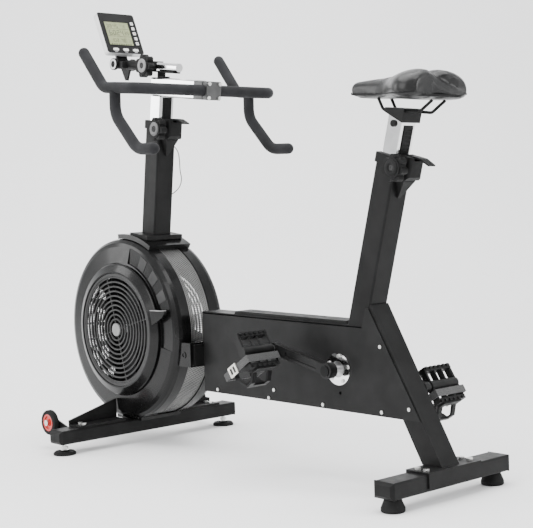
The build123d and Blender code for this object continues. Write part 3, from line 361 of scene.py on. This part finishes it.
def foot_rule(lo, hi, centre, normal):
    """Zinc stud and nut on the disc levellers."""
    axis = (lo + hi) / 2
    near = math.hypot(centre[0] - axis[0], centre[1] - axis[1])
    on_stud = centre[2] > FOOT_DISC_TOP and near < FOOT_STUD_R
    return "zinc" if on_stud and size_of(lo, hi)[0] > FOOT_DISC_W else None


def fastener_rule(lo, hi, centre, normal):
    """Pins up at the collars are black, the rest are zinc plated."""
    return "plastic" if lo[2] > HIGH_FASTENER_Z else None


def cover_rule(lo, hi, centre, normal):
    """Dark scale marks and a matt strip on the box top."""
    small = size_of(lo, hi)
    if small[1] < MARK_THICK:
        return "mark"
    return "plastic" if small[0] > STRIP_LEN and small[2] < STRIP_TALL else None


def grille_rule(lo, hi, centre, normal):
    """Paler hub in the middle of each grille."""
    radius = math.hypot(centre[0] - FAN.x, centre[2] - FAN.z)
    return "spoke" if radius < GRILLE_HUB_R else None


def bearing_rule(lo, hi, centre, normal):
    """Bare steel for bearing rings, plating for the flanges."""
    return "steel" if size_of(lo, hi)[0] < BEARING_W else None


def wheel_rule(lo, hi, centre, normal):
    """Red hub inside the tyre."""
    return "red" if size_of(lo, hi)[0] < WHEEL_HUB_W else None


def axle_rule(lo, hi, centre, normal):
    """Plastic caps on the ends of the crank axle."""
    return "plastic" if size_of(lo, hi)[1] < AXLE_CAP_THICK else None


def clip_rule(lo, hi, centre, normal):
    """Webbing strap and metal buckle on the moulded cage."""
    across = size_of(lo, hi)[1]
    if across > STRAP_W:
        return "webbing"
    return "buckle" if across < BUCKLE_W else None


def post_rule(lo, hi, centre, normal):
    """Black rack strip on the plated post."""
    return "plastic" if size_of(lo, hi)[1] < RACK_W else None


def stem_rule(lo, hi, centre, normal):
    """Cast clamp halves and their bolts on the plated stem."""
    across = size_of(lo, hi)[1]
    if across > CLAMP_W:
        return "clamp"
    return "zinc" if across < CLAMP_BOLT_W else None


def arm_rule(lo, hi, centre, normal):
    """Plated arm tube between plastic ends."""
    extent = size_of(lo, hi)
    if extent[0] > ARM_TUBE_LEN and extent[1] < ARM_TUBE_W:
        return "chrome"
    return "plastic" if extent[1] > ARM_HINGE_W else None


CASE_FRONT = CONSOLE.to_3x3() @ Vector((1, 0, 0))


def case_rule(lo, hi, centre, normal):
    """Dark face and back on a pale-sided case."""
    facing = Vector(normal).dot(CASE_FRONT)
    if facing > 0.9:
        return "case_face"
    return "case_face" if facing < -0.5 else "case_side"


paint("feet", "rubber", foot_rule)
paint("fasteners", "zinc", fastener_rule)
paint("covers", "shell", cover_rule)
paint("grilles", "grille", grille_rule)
paint("bearing_units", "chrome", bearing_rule)
paint("wheel_left", "rubber", wheel_rule)
paint("wheel_right", "rubber", wheel_rule)
paint("crank_axle", "steel", axle_rule)
paint("toe_clip_left", "resin", clip_rule)
paint("toe_clip_right", "resin", clip_rule)
paint("seat_post", "chrome", post_rule)
paint("bar_post", "chrome", post_rule)
paint("saddle_frame", "plastic")
paint("stem", "chrome", stem_rule)
paint("console_arm", "powder", arm_rule)
paint("console_housing", "case_face", case_rule)


# ------------------------------------------------------------------ mesh helpers
def new_object(name, verts, faces, mat, smooth=True):
    me = bpy.data.meshes.new(name)
    me.from_pydata([tuple(v) for v in verts], [], faces)
    me.validate()
    me.materials.append(MATS[mat])
    for poly in me.polygons:
        poly.use_smooth = smooth
    obj = bpy.data.objects.new(name, me)
    bpy.context.scene.collection.objects.link(obj)
    return obj


def lathe(name, profile, place, mat, steps=48):
    """Closed (radius, height) profile turned about the local Z axis of place."""
    verts, faces = [], []
    count = len(profile)
    for i in range(steps):
        a = 2 * math.pi * i / steps
        for r, h in profile:
            verts.append(place @ Vector((r * math.cos(a), r * math.sin(a), h)))
    for i in range(steps):
        j = (i + 1) % steps
        for k in range(count):
            m = (k + 1) % count
            faces.append((i * count + k, j * count + k, j * count + m, i * count + m))
    obj = new_object(name, verts, faces, mat)
    bm = bmesh.new()
    bm.from_mesh(obj.data)
    bmesh.ops.remove_doubles(bm, verts=bm.verts, dist=1e-6)
    bmesh.ops.recalc_face_normals(bm, faces=bm.faces)
    bm.to_mesh(obj.data)
    bm.free()
    return obj


def rounded_path(points, radius, steps=8):
    """Straight runs joined by arcs of one radius."""
    path = [points[0]]
    for before, here, after in zip(points, points[1:], points[2:]):
        a = (before - here).normalized()
        b = (after - here).normalized()
        half = a.angle(b) / 2
        reach = radius / math.tan(half)
        centre = here + (a + b).normalized() * (radius / math.sin(half))
        start, end = (here + a * reach - centre).normalized(), (here + b * reach - centre).normalized()
        for i in range(steps + 1):
            path.append(centre + start.slerp(end, i / steps) * radius)
    path.append(points[-1])
    return path


def tube(name, path, radius, mat, sides=28, cap_start=False, cap_end=True, spacing=0.006):
    """Round bar along a path with a domed end."""
    fine = [path[0]]
    for a, b in zip(path, path[1:]):
        n = max(1, int((b - a).length / spacing))
        fine += [a.lerp(b, (i + 1) / n) for i in range(n)]
    rings = [(p, 1.0) for p in fine]
    tangents = [(fine[min(i + 1, len(fine) - 1)] - fine[max(i - 1, 0)]).normalized()
                for i in range(len(fine))]
    if cap_end:
        last, along = fine[-1], tangents[-1]
        for k in range(1, 8):
            a = k / 7 * math.pi / 2
            rings.append((last + along * radius * math.sin(a), max(math.cos(a), 0.02)))
            tangents.append(along)
    if cap_start:
        first, along = fine[0], tangents[0]
        for k in range(1, 5):
            a = k / 4 * math.pi / 2
            inset = first - along * radius * 0.25 * math.sin(a)
            rings.insert(0, (inset, max(0.72 + 0.28 * math.cos(a), 0)))
            tangents.insert(0, along)
    verts, faces = [], []
    side = Vector((0, 1, 0)) if abs(tangents[0].y) < 0.9 else Vector((1, 0, 0))
    for (p, scale), t in zip(rings, tangents):
        side = (side - t * side.dot(t)).normalized()
        up = t.cross(side)
        for i in range(sides):
            a = 2 * math.pi * i / sides
            verts.append(p + (side * math.cos(a) + up * math.sin(a)) * radius * scale)
    for r in range(len(rings) - 1):
        for i in range(sides):
            j = (i + 1) % sides
            faces.append((r * sides + i, r * sides + j, (r + 1) * sides + j, (r + 1) * sides + i))
    last = (len(rings) - 1) * sides
    faces.append([last + i for i in range(sides)])
    faces.append([sides - 1 - i for i in range(sides)])
    return new_object(name, verts, faces, mat)


def block(name, lo, hi, place, mat, bevel=0.0):
    """Small bevelled block in a local frame."""
    bm = bmesh.new()
    bmesh.ops.create_cube(bm, size=1.0)
    size = Vector(hi) - Vector(lo)
    mid = (Vector(hi) + Vector(lo)) / 2
    for v in bm.verts:
        v.co = Vector((v.co.x * size.x, v.co.y * size.y, v.co.z * size.z)) + mid
    if bevel:
        bmesh.ops.bevel(bm, geom=list(bm.edges), offset=bevel, segments=2, affect="EDGES")
    bmesh.ops.transform(bm, matrix=place, verts=bm.verts)
    me = bpy.data.meshes.new(name)
    bm.to_mesh(me)
    bm.free()
    me.materials.append(MATS[mat])
    obj = bpy.data.objects.new(name, me)
    bpy.context.scene.collection.objects.link(obj)
    return obj


def join(name, objs):
    """Merge several small meshes into one piece."""
    bm = bmesh.new()
    mats = []
    for obj in objs:
        mat = obj.data.materials[0]
        if mat not in mats:
            mats.append(mat)
        first = len(bm.faces)
        bm.from_mesh(obj.data)
        bm.faces.ensure_lookup_table()
        for face in bm.faces[first:]:
            face.material_index = mats.index(mat)
    me = bpy.data.meshes.new(name)
    bm.to_mesh(me)
    bm.free()
    for mat in mats:
        me.materials.append(mat)
    for obj in objs:
        bpy.data.objects.remove(obj)
    out = bpy.data.objects.new(name, me)
    bpy.context.scene.collection.objects.link(out)
    return out


# ------------------------------------------------------------------ perforated cage band
BAND_R, BAND_HALF, BAND_GAUGE = 0.2512, 0.037, 0.0009
HOLES_ROUND, HOLE_ROWS = 300, 14
HOLE_SHARE = 0.36                       # hole radius as a share of the pitch
KEY_STEPS = 2000                        # welding grid, per pitch
REAR_GAP_X, REAR_GAP_Z = -0.242 + DATUM, (0.2385, 0.3035)
POST_GAP_HALF, POST_GAP_TOP = 0.0335, -0.2
FOOT_GAP_X = (-0.4995 + DATUM, -0.4245 + DATUM)


def perforated_band():
    """A sheet hoop with staggered round holes, cut away where the yoke passes through it."""
    radius, half, rows = BAND_R, BAND_HALF, HOLE_ROWS
    step_a, step_y = 2 * math.pi / HOLES_ROUND, 2 * half / rows
    verts, index, faces = [], {}, []

    def vertex(a, y):
        key = (round(a / step_a * KEY_STEPS) % (HOLES_ROUND * KEY_STEPS), round(y / step_y * KEY_STEPS))
        if key not in index:
            index[key] = len(verts)
            verts.append(FAN + Vector((radius * math.cos(a), y, radius * math.sin(a))))
        return index[key]

    post_inv = POST.inverted()
    ring = [(-1, -1), (0, -1), (1, -1), (1, 0), (1, 1), (0, 1), (-1, 1), (-1, 0)]
    for j in range(rows):
        y = -half + (j + 0.5) * step_y
        for i in range(HOLES_ROUND):
            a = (i + 0.5 * (j % 2)) * step_a
            p = FAN + Vector((radius * math.cos(a), y, radius * math.sin(a)))
            up = post_inv @ p
            behind = REAR_GAP_X < p.x and REAR_GAP_Z[0] < p.z < REAR_GAP_Z[1]
            above = abs(up.x) < POST_GAP_HALF and up.z < POST_GAP_TOP and p.z > FAN.z
            below = FOOT_GAP_X[0] < p.x < FOOT_GAP_X[1] and p.z < FAN.z
            if behind or above or below:
                continue
            outer = [vertex(a + dx * step_a / 2, y + dy * step_y / 2) for dx, dy in ring]
            if j in (0, rows - 1):
                faces.append(outer)
                continue
            inner = []
            for k in range(8):
                t = math.atan2(ring[k][1], ring[k][0])
                inner.append(vertex(a + HOLE_SHARE * step_a * math.cos(t),
                                    y + HOLE_SHARE * step_y * math.sin(t)))
            for k in range(8):
                m = (k + 1) % 8
                faces.append((outer[k], outer[m], inner[m], inner[k]))
    # Painted shade: the band's inner face takes the near-black material so the inside of the cage reads
    # dark; the solidified outer face takes the pale sheet paint.
    obj = new_object("cage_band", verts, faces, "dark_rotor_and_band_shade", smooth=False)
    solid = obj.modifiers.new("gauge", "SOLIDIFY")
    solid.thickness = BAND_GAUGE
    solid.material_offset = 1
    obj.data.materials.append(MATS["sheet"])
    return obj


band = perforated_band()
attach(band, "frame")
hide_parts("cage_mesh_band")

# ------------------------------------------------------------------ foam grips
GRIP_R, GRIP_Y = 0.015, 0.232
HORN_BEND, DROP_BEND = 0.038, 0.058     # bend radii of the bar and of the drop grips
BAR_X, BAR_Z = -0.13571 + DATUM, 0.97743
CORNER = Vector((-0.2925 + DATUM, GRIP_Y, 0.992))
TIP = Vector((-0.373 + DATUM, GRIP_Y + 0.003, 1.090))
DROP_X = -0.243 + DATUM


def side_height(x):
    return BAR_Z + (CORNER.z - BAR_Z) * (x - BAR_X) / (CORNER.x - BAR_X)


for side, s in (("left", -1), ("right", 1)):
    flip = Matrix.Diagonal((1, s, 1, 1))
    line = [Vector((BAR_X, 0.026, BAR_Z)), Vector((BAR_X, GRIP_Y, BAR_Z)), CORNER, TIP]
    grip = tube(f"grip_upper_{side}", rounded_path([flip @ p for p in line], HORN_BEND), GRIP_R, "foam",
                cap_start=True)
    drop_top = side_height(DROP_X) - 0.010
    line = [Vector((DROP_X, GRIP_Y, drop_top)), Vector((DROP_X - 0.001, GRIP_Y, 0.917)),
            Vector((-0.153 + DATUM, GRIP_Y, 0.823)), Vector((-0.084 + DATUM, GRIP_Y, 0.821))]
    drop = tube(f"grip_drop_{side}", rounded_path([flip @ p for p in line], DROP_BEND), GRIP_R, "foam")
    for piece in (grip, drop):
        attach(piece, "bar_mast")
        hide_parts("grips")


# ------------------------------------------------------------------ saddle
SADDLE_ROWS = [  # x, half width, underside, crown, groove depth
    (0.402, 0.013, 0.922, 0.942, 0.0), (0.414, 0.023, 0.910, 0.9485, 0.0),
    (0.466, 0.029, 0.903, 0.951, 0.001), (0.530, 0.044, 0.897, 0.953, 0.004),
    (0.585, 0.084, 0.889, 0.958, 0.009), (0.625, 0.107, 0.884, 0.961, 0.012),
    (0.654, 0.103, 0.884, 0.958, 0.012), (0.668, 0.086, 0.890, 0.949, 0.008)]


def saddle_row(x):
    """Smoothly interpolated section values at an X."""
    xs = [r[0] for r in SADDLE_ROWS]
    k = max(0, min(len(xs) - 2, next((i for i in range(len(xs) - 1) if x <= xs[i + 1]), len(xs) - 2)))
    t = (x - xs[k]) / (xs[k + 1] - xs[k])
    out = []
    for c in range(1, 5):
        p = [SADDLE_ROWS[max(0, min(len(xs) - 1, k + d))][c] for d in (-1, 0, 1, 2)]
        m1, m2 = (p[2] - p[0]) / 2, (p[3] - p[1]) / 2
        t2, t3 = t * t, t * t * t
        out.append((2 * t3 - 3 * t2 + 1) * p[1] + (t3 - 2 * t2 + t) * m1
                   + (3 * t2 - 2 * t3) * p[2] + (t3 - t2) * m2)
    return out


SIDE_ROUND, CROWN_ROUND = 0.82, 0.8     # exponents that square the section's sides and crown
WAIST_SHARE = 0.40                      # height of the widest line within the section
GROOVE_W, NOTCH_W = 0.016, 0.022        # widths of the centre channel and of the rear notch
NOTCH_DEPTH, TAIL_X, TAIL_RUN = 0.016, 0.60, 0.066
HOLLOW, HOLLOW_FULL_W = 0.010, 0.05     # how far the underside is drawn up


def saddle_mesh():
    """Closed body: twin rear lobes, a centre channel and a tucked skirt."""
    around, along = 72, 60
    verts, faces = [], []
    x0, x1 = SADDLE_ROWS[0][0], SADDLE_ROWS[-1][0]
    for i in range(along + 1):
        u = i / along
        x = x0 + (x1 - x0) * (0.5 - 0.5 * math.cos(math.pi * u))
        half, low, top, groove = saddle_row(x)
        waist = low + WAIST_SHARE * (top - low)
        for j in range(around):
            a = 2 * math.pi * j / around
            c, s = math.cos(a), math.sin(a)
            y = half * math.copysign(abs(c) ** SIDE_ROUND, c)
            reach = (top - waist) if s > 0 else (waist - low)
            z = waist + reach * math.copysign(abs(s) ** CROWN_ROUND, s)
            tail = max(0.0, (x - TAIL_X) / TAIL_RUN)
            if s > 0:
                z -= groove * math.exp(-(y / GROOVE_W) ** 2) * s
            else:
                z += HOLLOW * (1 - (y / max(half, 1e-4)) ** 2) * min(1, half / HOLLOW_FULL_W)
            dx = -NOTCH_DEPTH * tail * math.exp(-(y / NOTCH_W) ** 2)
            verts.append((x + DATUM + dx, y, z))
    for i in range(along):
        for j in range(around):
            k = (j + 1) % around
            faces.append((i * around + j, (i + 1) * around + j, (i + 1) * around + k, i * around + k))
    faces.append([j for j in range(around)])
    faces.append([along * around + around - 1 - j for j in range(around)])
    obj = new_object("saddle_cover", verts, faces, "vinyl")
    bm = bmesh.new()
    bm.from_mesh(obj.data)
    bmesh.ops.recalc_face_normals(bm, faces=bm.faces)
    bm.to_mesh(obj.data)
    bm.free()
    return obj


def activate(obj):
    bpy.ops.object.select_all(action="DESELECT")
    bpy.context.view_layer.objects.active = obj
    obj.select_set(True)


def swell(obj, voxel, pressure, cap, floor_z):
    """Puff a closed mesh up as a stuffed cover, keeping what lies below floor_z where it is."""
    activate(obj)
    remesh = obj.modifiers.new("voxels", "REMESH")
    remesh.mode = "VOXEL"
    remesh.voxel_size = voxel
    bpy.ops.object.modifier_apply(modifier=remesh.name)
    smooth = obj.modifiers.new("settle", "SMOOTH")
    smooth.factor, smooth.iterations = 0.5, 4
    bpy.ops.object.modifier_apply(modifier=smooth.name)
    rest = [v.co.copy() for v in obj.data.vertices]
    held = obj.vertex_groups.new(name="held")
    held.add([v.index for v in obj.data.vertices if v.co.z < floor_z], 1.0, "REPLACE")
    cloth = obj.modifiers.new("cover", "CLOTH")
    cloth.settings.use_pressure = True
    cloth.settings.uniform_pressure_force = pressure
    cloth.settings.effector_weights.gravity = 0
    cloth.settings.vertex_group_mass = "held"
    cloth.settings.tension_stiffness = 18
    cloth.settings.bending_stiffness = 4
    scene = bpy.context.scene
    for f in range(1, 21):
        scene.frame_set(f)
    dg = bpy.context.evaluated_depsgraph_get()
    moved = [v.co.copy() for v in obj.evaluated_get(dg).data.vertices]
    obj.modifiers.remove(cloth)
    for v, a, b in zip(obj.data.vertices, rest, moved):
        shift = b - a
        if shift.length > cap:
            shift *= cap / shift.length
        v.co = a + shift
    scene.frame_set(1)
    for poly in obj.data.polygons:
        poly.use_smooth = True


COVER_VOXEL, COVER_PRESSURE, COVER_CAP = 0.004, 4.0, 0.003
SKIRT_Z = 0.905                         # the cover is stapled to the base below this height
saddle = saddle_mesh()
swell(saddle, COVER_VOXEL, COVER_PRESSURE, COVER_CAP, SKIRT_Z)
subdivision = saddle.modifiers.new("smooth", "SUBSURF")
subdivision.levels = subdivision.render_levels = 1
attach(saddle, "seat_unit")
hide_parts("saddle")


def saddle_seam():
    """Where the top panel meets the skirt, along one side."""
    half_line = []
    steps = 40
    x0, x1 = SADDLE_ROWS[0][0] + 0.004, SADDLE_ROWS[-1][0] - 0.003
    for i in range(steps + 1):
        x = x0 + (x1 - x0) * i / steps
        half, low, top, _ = saddle_row(x)
        half_line.append(Vector((x + DATUM, half * 0.985, low + 0.30 * (top - low))))
    return half_line


for side, s in (("left", -1), ("right", 1)):
    flip = Matrix.Diagonal((1, s, 1, 1))
    seam = tube(f"saddle_piping_{side}", [flip @ p for p in saddle_seam()], 0.0016, "plastic", sides=10,
                spacing=0.004)
    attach(seam, "seat_unit")

# ------------------------------------------------------------------ knob faces
KNOB_RING = [(0.0085, -0.0006), (0.0085, 0.0010), (0.0100, 0.0018), (0.0175, 0.0018), (0.0190, 0.0006),
             (0.0190, -0.0006)]
# Profile of the flat dark disc inside each knob ring, painted as the shade of its hole.
KNOB_CENTRE_SHADE = [(0.0001, -0.0006), (0.0001, 0.0003), (0.0084, 0.0003), (0.0084, -0.0006)]
RING_LOOK = {"front_knob": "knob_ring", "seat_knob": "plastic", "console_knob": "pale_ring_and_wing_highlight"}
for node, body in (("front_knob", "front_pinion"), ("seat_knob", "seat_pinion"),
                   ("console_knob", "console_clamp")):
    lo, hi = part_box(node)
    owner, boxes = solids_of(nodes[node])
    big = max(boxes.values(), key=lambda b: (b[1] - b[0])[0] * (b[1] - b[0])[2])
    centre = Vector(((big[0][0] + big[1][0]) / 2, big[0][1], (big[0][2] + big[1][2]) / 2))
    place = Matrix.Translation(centre) @ Matrix.Rotation(math.pi / 2, 4, "X")
    ring = lathe(f"{node}_ring", KNOB_RING, place, RING_LOOK[node])
    # Painted shade: a flat near-black disc inside the ring in place of the hole.
    centre_shade_disc = lathe(f"{node}_socket", KNOB_CENTRE_SHADE, place, "centre_shade_disc")
    for piece in (ring, centre_shade_disc):
        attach(piece, body)

# Swept finger wing on the damper ring, with a painted highlight: a pale strip along its leading edge
# stands in for the light caught there.
WING_ANGLE = math.radians(14.0)
WING_PLACE = Matrix.Translation(FAN) @ Matrix.Rotation(-WING_ANGLE, 4, "Y")


def wing_plate(name, outline, y0, y1, mat):
    """Flat plate whose outline is drawn in the damper's own plane."""
    count = len(outline)
    verts = [WING_PLACE @ Vector((a, y, b)) for y in (y0, y1) for a, b in outline]
    faces = [tuple(range(count)), tuple(reversed(range(count, 2 * count)))]
    for i in range(count):
        j = (i + 1) % count
        faces.append((i, i + count, j + count, j))
    return new_object(name, verts, faces, mat, smooth=False)


WING_OUTLINE = [(0.168, -0.020), (0.196, -0.016), (0.222, -0.009), (0.236, 0.001), (0.235, 0.006),
                (0.214, 0.009), (0.190, 0.015), (0.168, 0.020)]
# Painted highlight: outline of the pale strip laid along the wing's leading edge.
WING_HIGHLIGHT_OUTLINE = [(0.172, 0.0192), (0.190, 0.0150), (0.214, 0.0090), (0.235, 0.0060), (0.2352, 0.0082),
                (0.215, 0.0114), (0.191, 0.0174), (0.172, 0.0215)]
wing = join("damper_wing", [wing_plate("wing", WING_OUTLINE, -0.1045, -0.0965, "shell"),
                            wing_plate("wing_highlight", WING_HIGHLIGHT_OUTLINE, -0.1040, -0.0970, "pale_ring_and_wing_highlight")])
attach(wing, "damper")

# Light ring on the cap of the console's tilt hinge.
for s in (-1, 1):
    hinge = POST @ Vector((-0.190, s * 0.036, 0.161))
    turn = Matrix.Rotation(math.pi / 2 if s < 0 else -math.pi / 2, 4, "X")
    ring = lathe(f"hinge_cap_ring_{'left' if s < 0 else 'right'}",
                 [(0.0095, -0.0004), (0.0095, 0.0010), (0.0110, 0.0014), (0.0140, 0.0014),
                  (0.0150, 0.0006), (0.0150, -0.0004)], Matrix.Translation(hinge) @ turn, "case_side")
    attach(ring, "bar_mast")

# ------------------------------------------------------------------ console face
SEGMENTS = {"0": "abcdef", "1": "bc", "2": "abged", "3": "abgcd", "4": "fgbc", "5": "afgcd",
            "6": "afgedc", "7": "abc", "8": "abcdefg"}


def digit(char, y, z, w, h, marks):
    """Seven-segment digit as thin raised bars; y and z are its lower left corner seen from the front."""
    t = h * 0.11
    shapes = {"a": (0, h - t, w, h), "g": (0, h / 2 - t / 2, w, h / 2 + t / 2), "d": (0, 0, w, t),
              "f": (0, h / 2, t, h), "b": (w - t, h / 2, w, h), "e": (0, 0, t, h / 2),
              "c": (w - t, 0, w, h / 2)}
    for key in SEGMENTS[char]:
        y0, z0, y1, z1 = shapes[key]
        gap = t * 0.18
        marks.append(((y + y0 + gap, z + z0 + gap), (y + y1 - gap, z + z1 - gap)))


marks = []
for text, y, z, w, h in (("08", -0.040, 0.018, 0.0065, 0.011), ("45", -0.019, 0.018, 0.0065, 0.011),
                         ("12", 0.010, 0.020, 0.0050, 0.009), ("60", -0.038, -0.006, 0.0090, 0.016),
                         ("24", -0.012, -0.006, 0.0090, 0.016), ("35", 0.014, -0.004, 0.0060, 0.011),
                         ("102", -0.036, -0.029, 0.0060, 0.011), ("78", -0.004, -0.029, 0.0060, 0.011)):
    for n, char in enumerate(text):
        digit(char, y + n * w * 1.45, z, w, h, marks)
for n in range(9):
    y = -0.042 + n * 0.0082
    marks.append(((y, -0.0365), (y + 0.0052, -0.0345)))
for z in (0.0145, -0.0100):
    marks.append(((-0.045, z), (0.032, z + 0.0006)))
bars = [block("bar", (-0.00052, lo[0], lo[1]), (-0.00030, hi[0], hi[1]), CONSOLE, "segment")
        for lo, hi in marks]
display = join("lcd_segments", bars)
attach(display, "console")

bezel = [block("bezel", lo, hi, CONSOLE, "case_face", 0.0004) for lo, hi in (
    ((-0.0012, -0.0502, 0.0366), (0.0010, 0.0378, 0.0386)),
    ((-0.0012, -0.0502, -0.0404), (0.0010, 0.0378, -0.0384)),
    ((-0.0012, -0.0502, -0.0384), (0.0010, -0.0482, 0.0366)),
    ((-0.0012, 0.0358, -0.0384), (0.0010, 0.0378, 0.0366)))]
bezel = join("lcd_bezel", bezel)
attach(bezel, "console")

SIDE_KEY_Z = (0.0344, 0.0182, 0.0019, -0.0149, -0.0311)
SIDE_KEY_Y = 0.0492
ICON_BACK, ICON_FRONT = 0.0013, 0.0016
ICON_REACH, ICON_HALF = 0.0020, 0.0005
RED_KEY = 2


def icon_bar(y0, y1, z0, z1, mat):
    """Thin raised mark on a side key."""
    return block("icon", (ICON_BACK, SIDE_KEY_Y + y0, z0), (ICON_FRONT, SIDE_KEY_Y + y1, z1), CONSOLE, mat)


for n, z in enumerate(SIDE_KEY_Z):
    look = "key_red" if n == RED_KEY else "key_mark"
    icon = [icon_bar(-ICON_REACH, ICON_REACH, z - ICON_HALF, z + ICON_HALF, look)]
    if n == RED_KEY:
        icon.append(icon_bar(-ICON_REACH, ICON_REACH, z + 0.0009, z + 0.0018, look))
    else:
        icon.append(icon_bar(-ICON_HALF, ICON_HALF, z - ICON_REACH, z + ICON_REACH, look))
    icon = join(f"key_icon_{n + 1}", icon)
    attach(icon, f"side_button_{n + 1}")
labels = []
for y in (-0.0331, 0.0015, 0.0361):
    labels.append(block("label", (-0.0004, y - 0.0050, -0.0615), (0.00025, y + 0.0050, -0.0601), CONSOLE,
                        "label"))
labels = join("key_labels", labels)
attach(labels, "console")

# ------------------------------------------------------------------ sensor cable
ROUTE = [(0.0315, 0.024, -0.056), (0.044, 0.030, -0.066), (0.050, 0.033, -0.095), (0.051, 0.035, -0.125),
         (0.060, 0.037, -0.148), (0.050, 0.034, -0.178), (0.0315, 0.024, -0.192)]
LEAD_R = 0.0013
curve = bpy.data.curves.new("sensor_lead", "CURVE")
curve.dimensions = "3D"
curve.bevel_depth = LEAD_R
curve.bevel_resolution = 4
curve.resolution_u = 12
curve.use_fill_caps = True
spline = curve.splines.new("NURBS")
spline.points.add(len(ROUTE) - 1)
for point, place in zip(spline.points, ROUTE):
    point.co = (*(POST @ Vector(place)), 1)
spline.order_u = 3
spline.use_endpoint_u = True
lead = bpy.data.objects.new("sensor_lead", curve)
bpy.context.scene.collection.objects.link(lead)
curve.materials.append(MATS["cable"])
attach(lead, "frame")
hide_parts("sensor_cable")

# ------------------------------------------------------------------ smooth curved CAD faces
EDGE_ANGLE = math.radians(32)
for name, obj in nodes.items():
    for poly in obj.data.polygons:
        poly.use_smooth = True
    obj.data.set_sharp_from_angle(angle=EDGE_ANGLE)


# ------------------------------------------------------------------ stage, light and camera
FLOOR_REACH = 14.0                      # how far the floor runs to each side
COVE_START, COVE_RUN, COVE_R = 2.2, 2.6, 2.4
WALL_TOP = 9.0
COVE_STEPS = 12
CAMERA_PLACE = (2.5382, -2.1959, 0.6904)
CAMERA_LENS, SENSOR_W = 86.62, 36.0


def floor():
    """Pale studio floor that curves up into a back wall."""
    g = Graph("studio_floor")
    g.link(g.ramp(g.noise(1.2, 3.0), 0.93, 0.95), g.bsdf.inputs["Base Color"])
    g.bsdf.inputs["Roughness"].default_value = 0.85
    me = bpy.data.meshes.new("floor")
    verts, faces = [], []
    back = [(FLOOR_REACH, 0), (COVE_START, 0)]
    for k in range(COVE_STEPS + 1):
        a = k / COVE_STEPS * math.pi / 2
        back.append((COVE_START - COVE_RUN - COVE_R * math.sin(a), COVE_R - COVE_R * math.cos(a)))
    back.append((COVE_START - COVE_RUN - COVE_R, WALL_TOP))
    toward = Vector((0.745, -0.667, 0))
    across = Vector((0.667, 0.745, 0))
    for d, h in back:
        for w in (-FLOOR_REACH, FLOOR_REACH):
            p = toward * (d - 0.4) + across * w
            verts.append((p.x, p.y, h - 0.0005))
    for i in range(len(back) - 1):
        faces.append((2 * i, 2 * i + 1, 2 * i + 3, 2 * i + 2))
    me.from_pydata(verts, [], faces)
    for poly in me.polygons:
        poly.use_smooth = True
    me.materials.append(g.mat)
    obj = bpy.data.objects.new("floor", me)
    bpy.context.scene.collection.objects.link(obj)


def area(name, place, target, size, power):
    data = bpy.data.lights.new(name, "AREA")
    data.shape = "RECTANGLE"
    data.size, data.size_y = size
    data.energy = power
    obj = bpy.data.objects.new(name, data)
    obj.location = place
    obj.rotation_mode = "QUATERNION"
    obj.rotation_quaternion = (Vector(target) - Vector(place)).to_track_quat("-Z", "Y")
    bpy.context.scene.collection.objects.link(obj)


floor()
LIGHTS = [  # name, place, target, size, power
    ("overhead", (0.2, -0.2, 3.4), (0.0, 0.0, 0.5), (3.2, 3.2), 180),
    ("key_left", (0.2, -3.2, 1.9), (-0.1, 0.0, 0.6), (2.4, 2.0), 70),
    ("rear_strip", (3.0, 1.6, 1.8), (0.2, 0.0, 0.6), (0.8, 2.4), 45),
    ("front_strip", (-2.4, -1.8, 1.5), (-0.4, 0.0, 0.5), (0.9, 2.2), 40)]
for light in LIGHTS:
    area(*light)
world = bpy.data.worlds.new("studio")
world.use_nodes = True
world.node_tree.nodes["Background"].inputs["Color"].default_value = (0.93, 0.94, 0.95, 1)
world.node_tree.nodes["Background"].inputs["Strength"].default_value = 1.3
bpy.context.scene.world = world

camera_data = bpy.data.cameras.new("camera")
camera_data.sensor_width = SENSOR_W
camera_data.lens = CAMERA_LENS
camera_data.clip_start, camera_data.clip_end = 0.05, 60
camera = bpy.data.objects.new("camera", camera_data)
right = Vector((0.668, 0.7434, -0.0332)).normalized()
forward = Vector((-0.7439, 0.6662, -0.0525)).normalized()
forward = (forward - right * forward.dot(right)).normalized()
up = right.cross(forward)
pose = Matrix((right, up, -forward)).transposed().to_4x4()
pose.translation = CAMERA_PLACE
camera.matrix_world = pose
bpy.context.scene.collection.objects.link(camera)
bpy.context.scene.camera = camera
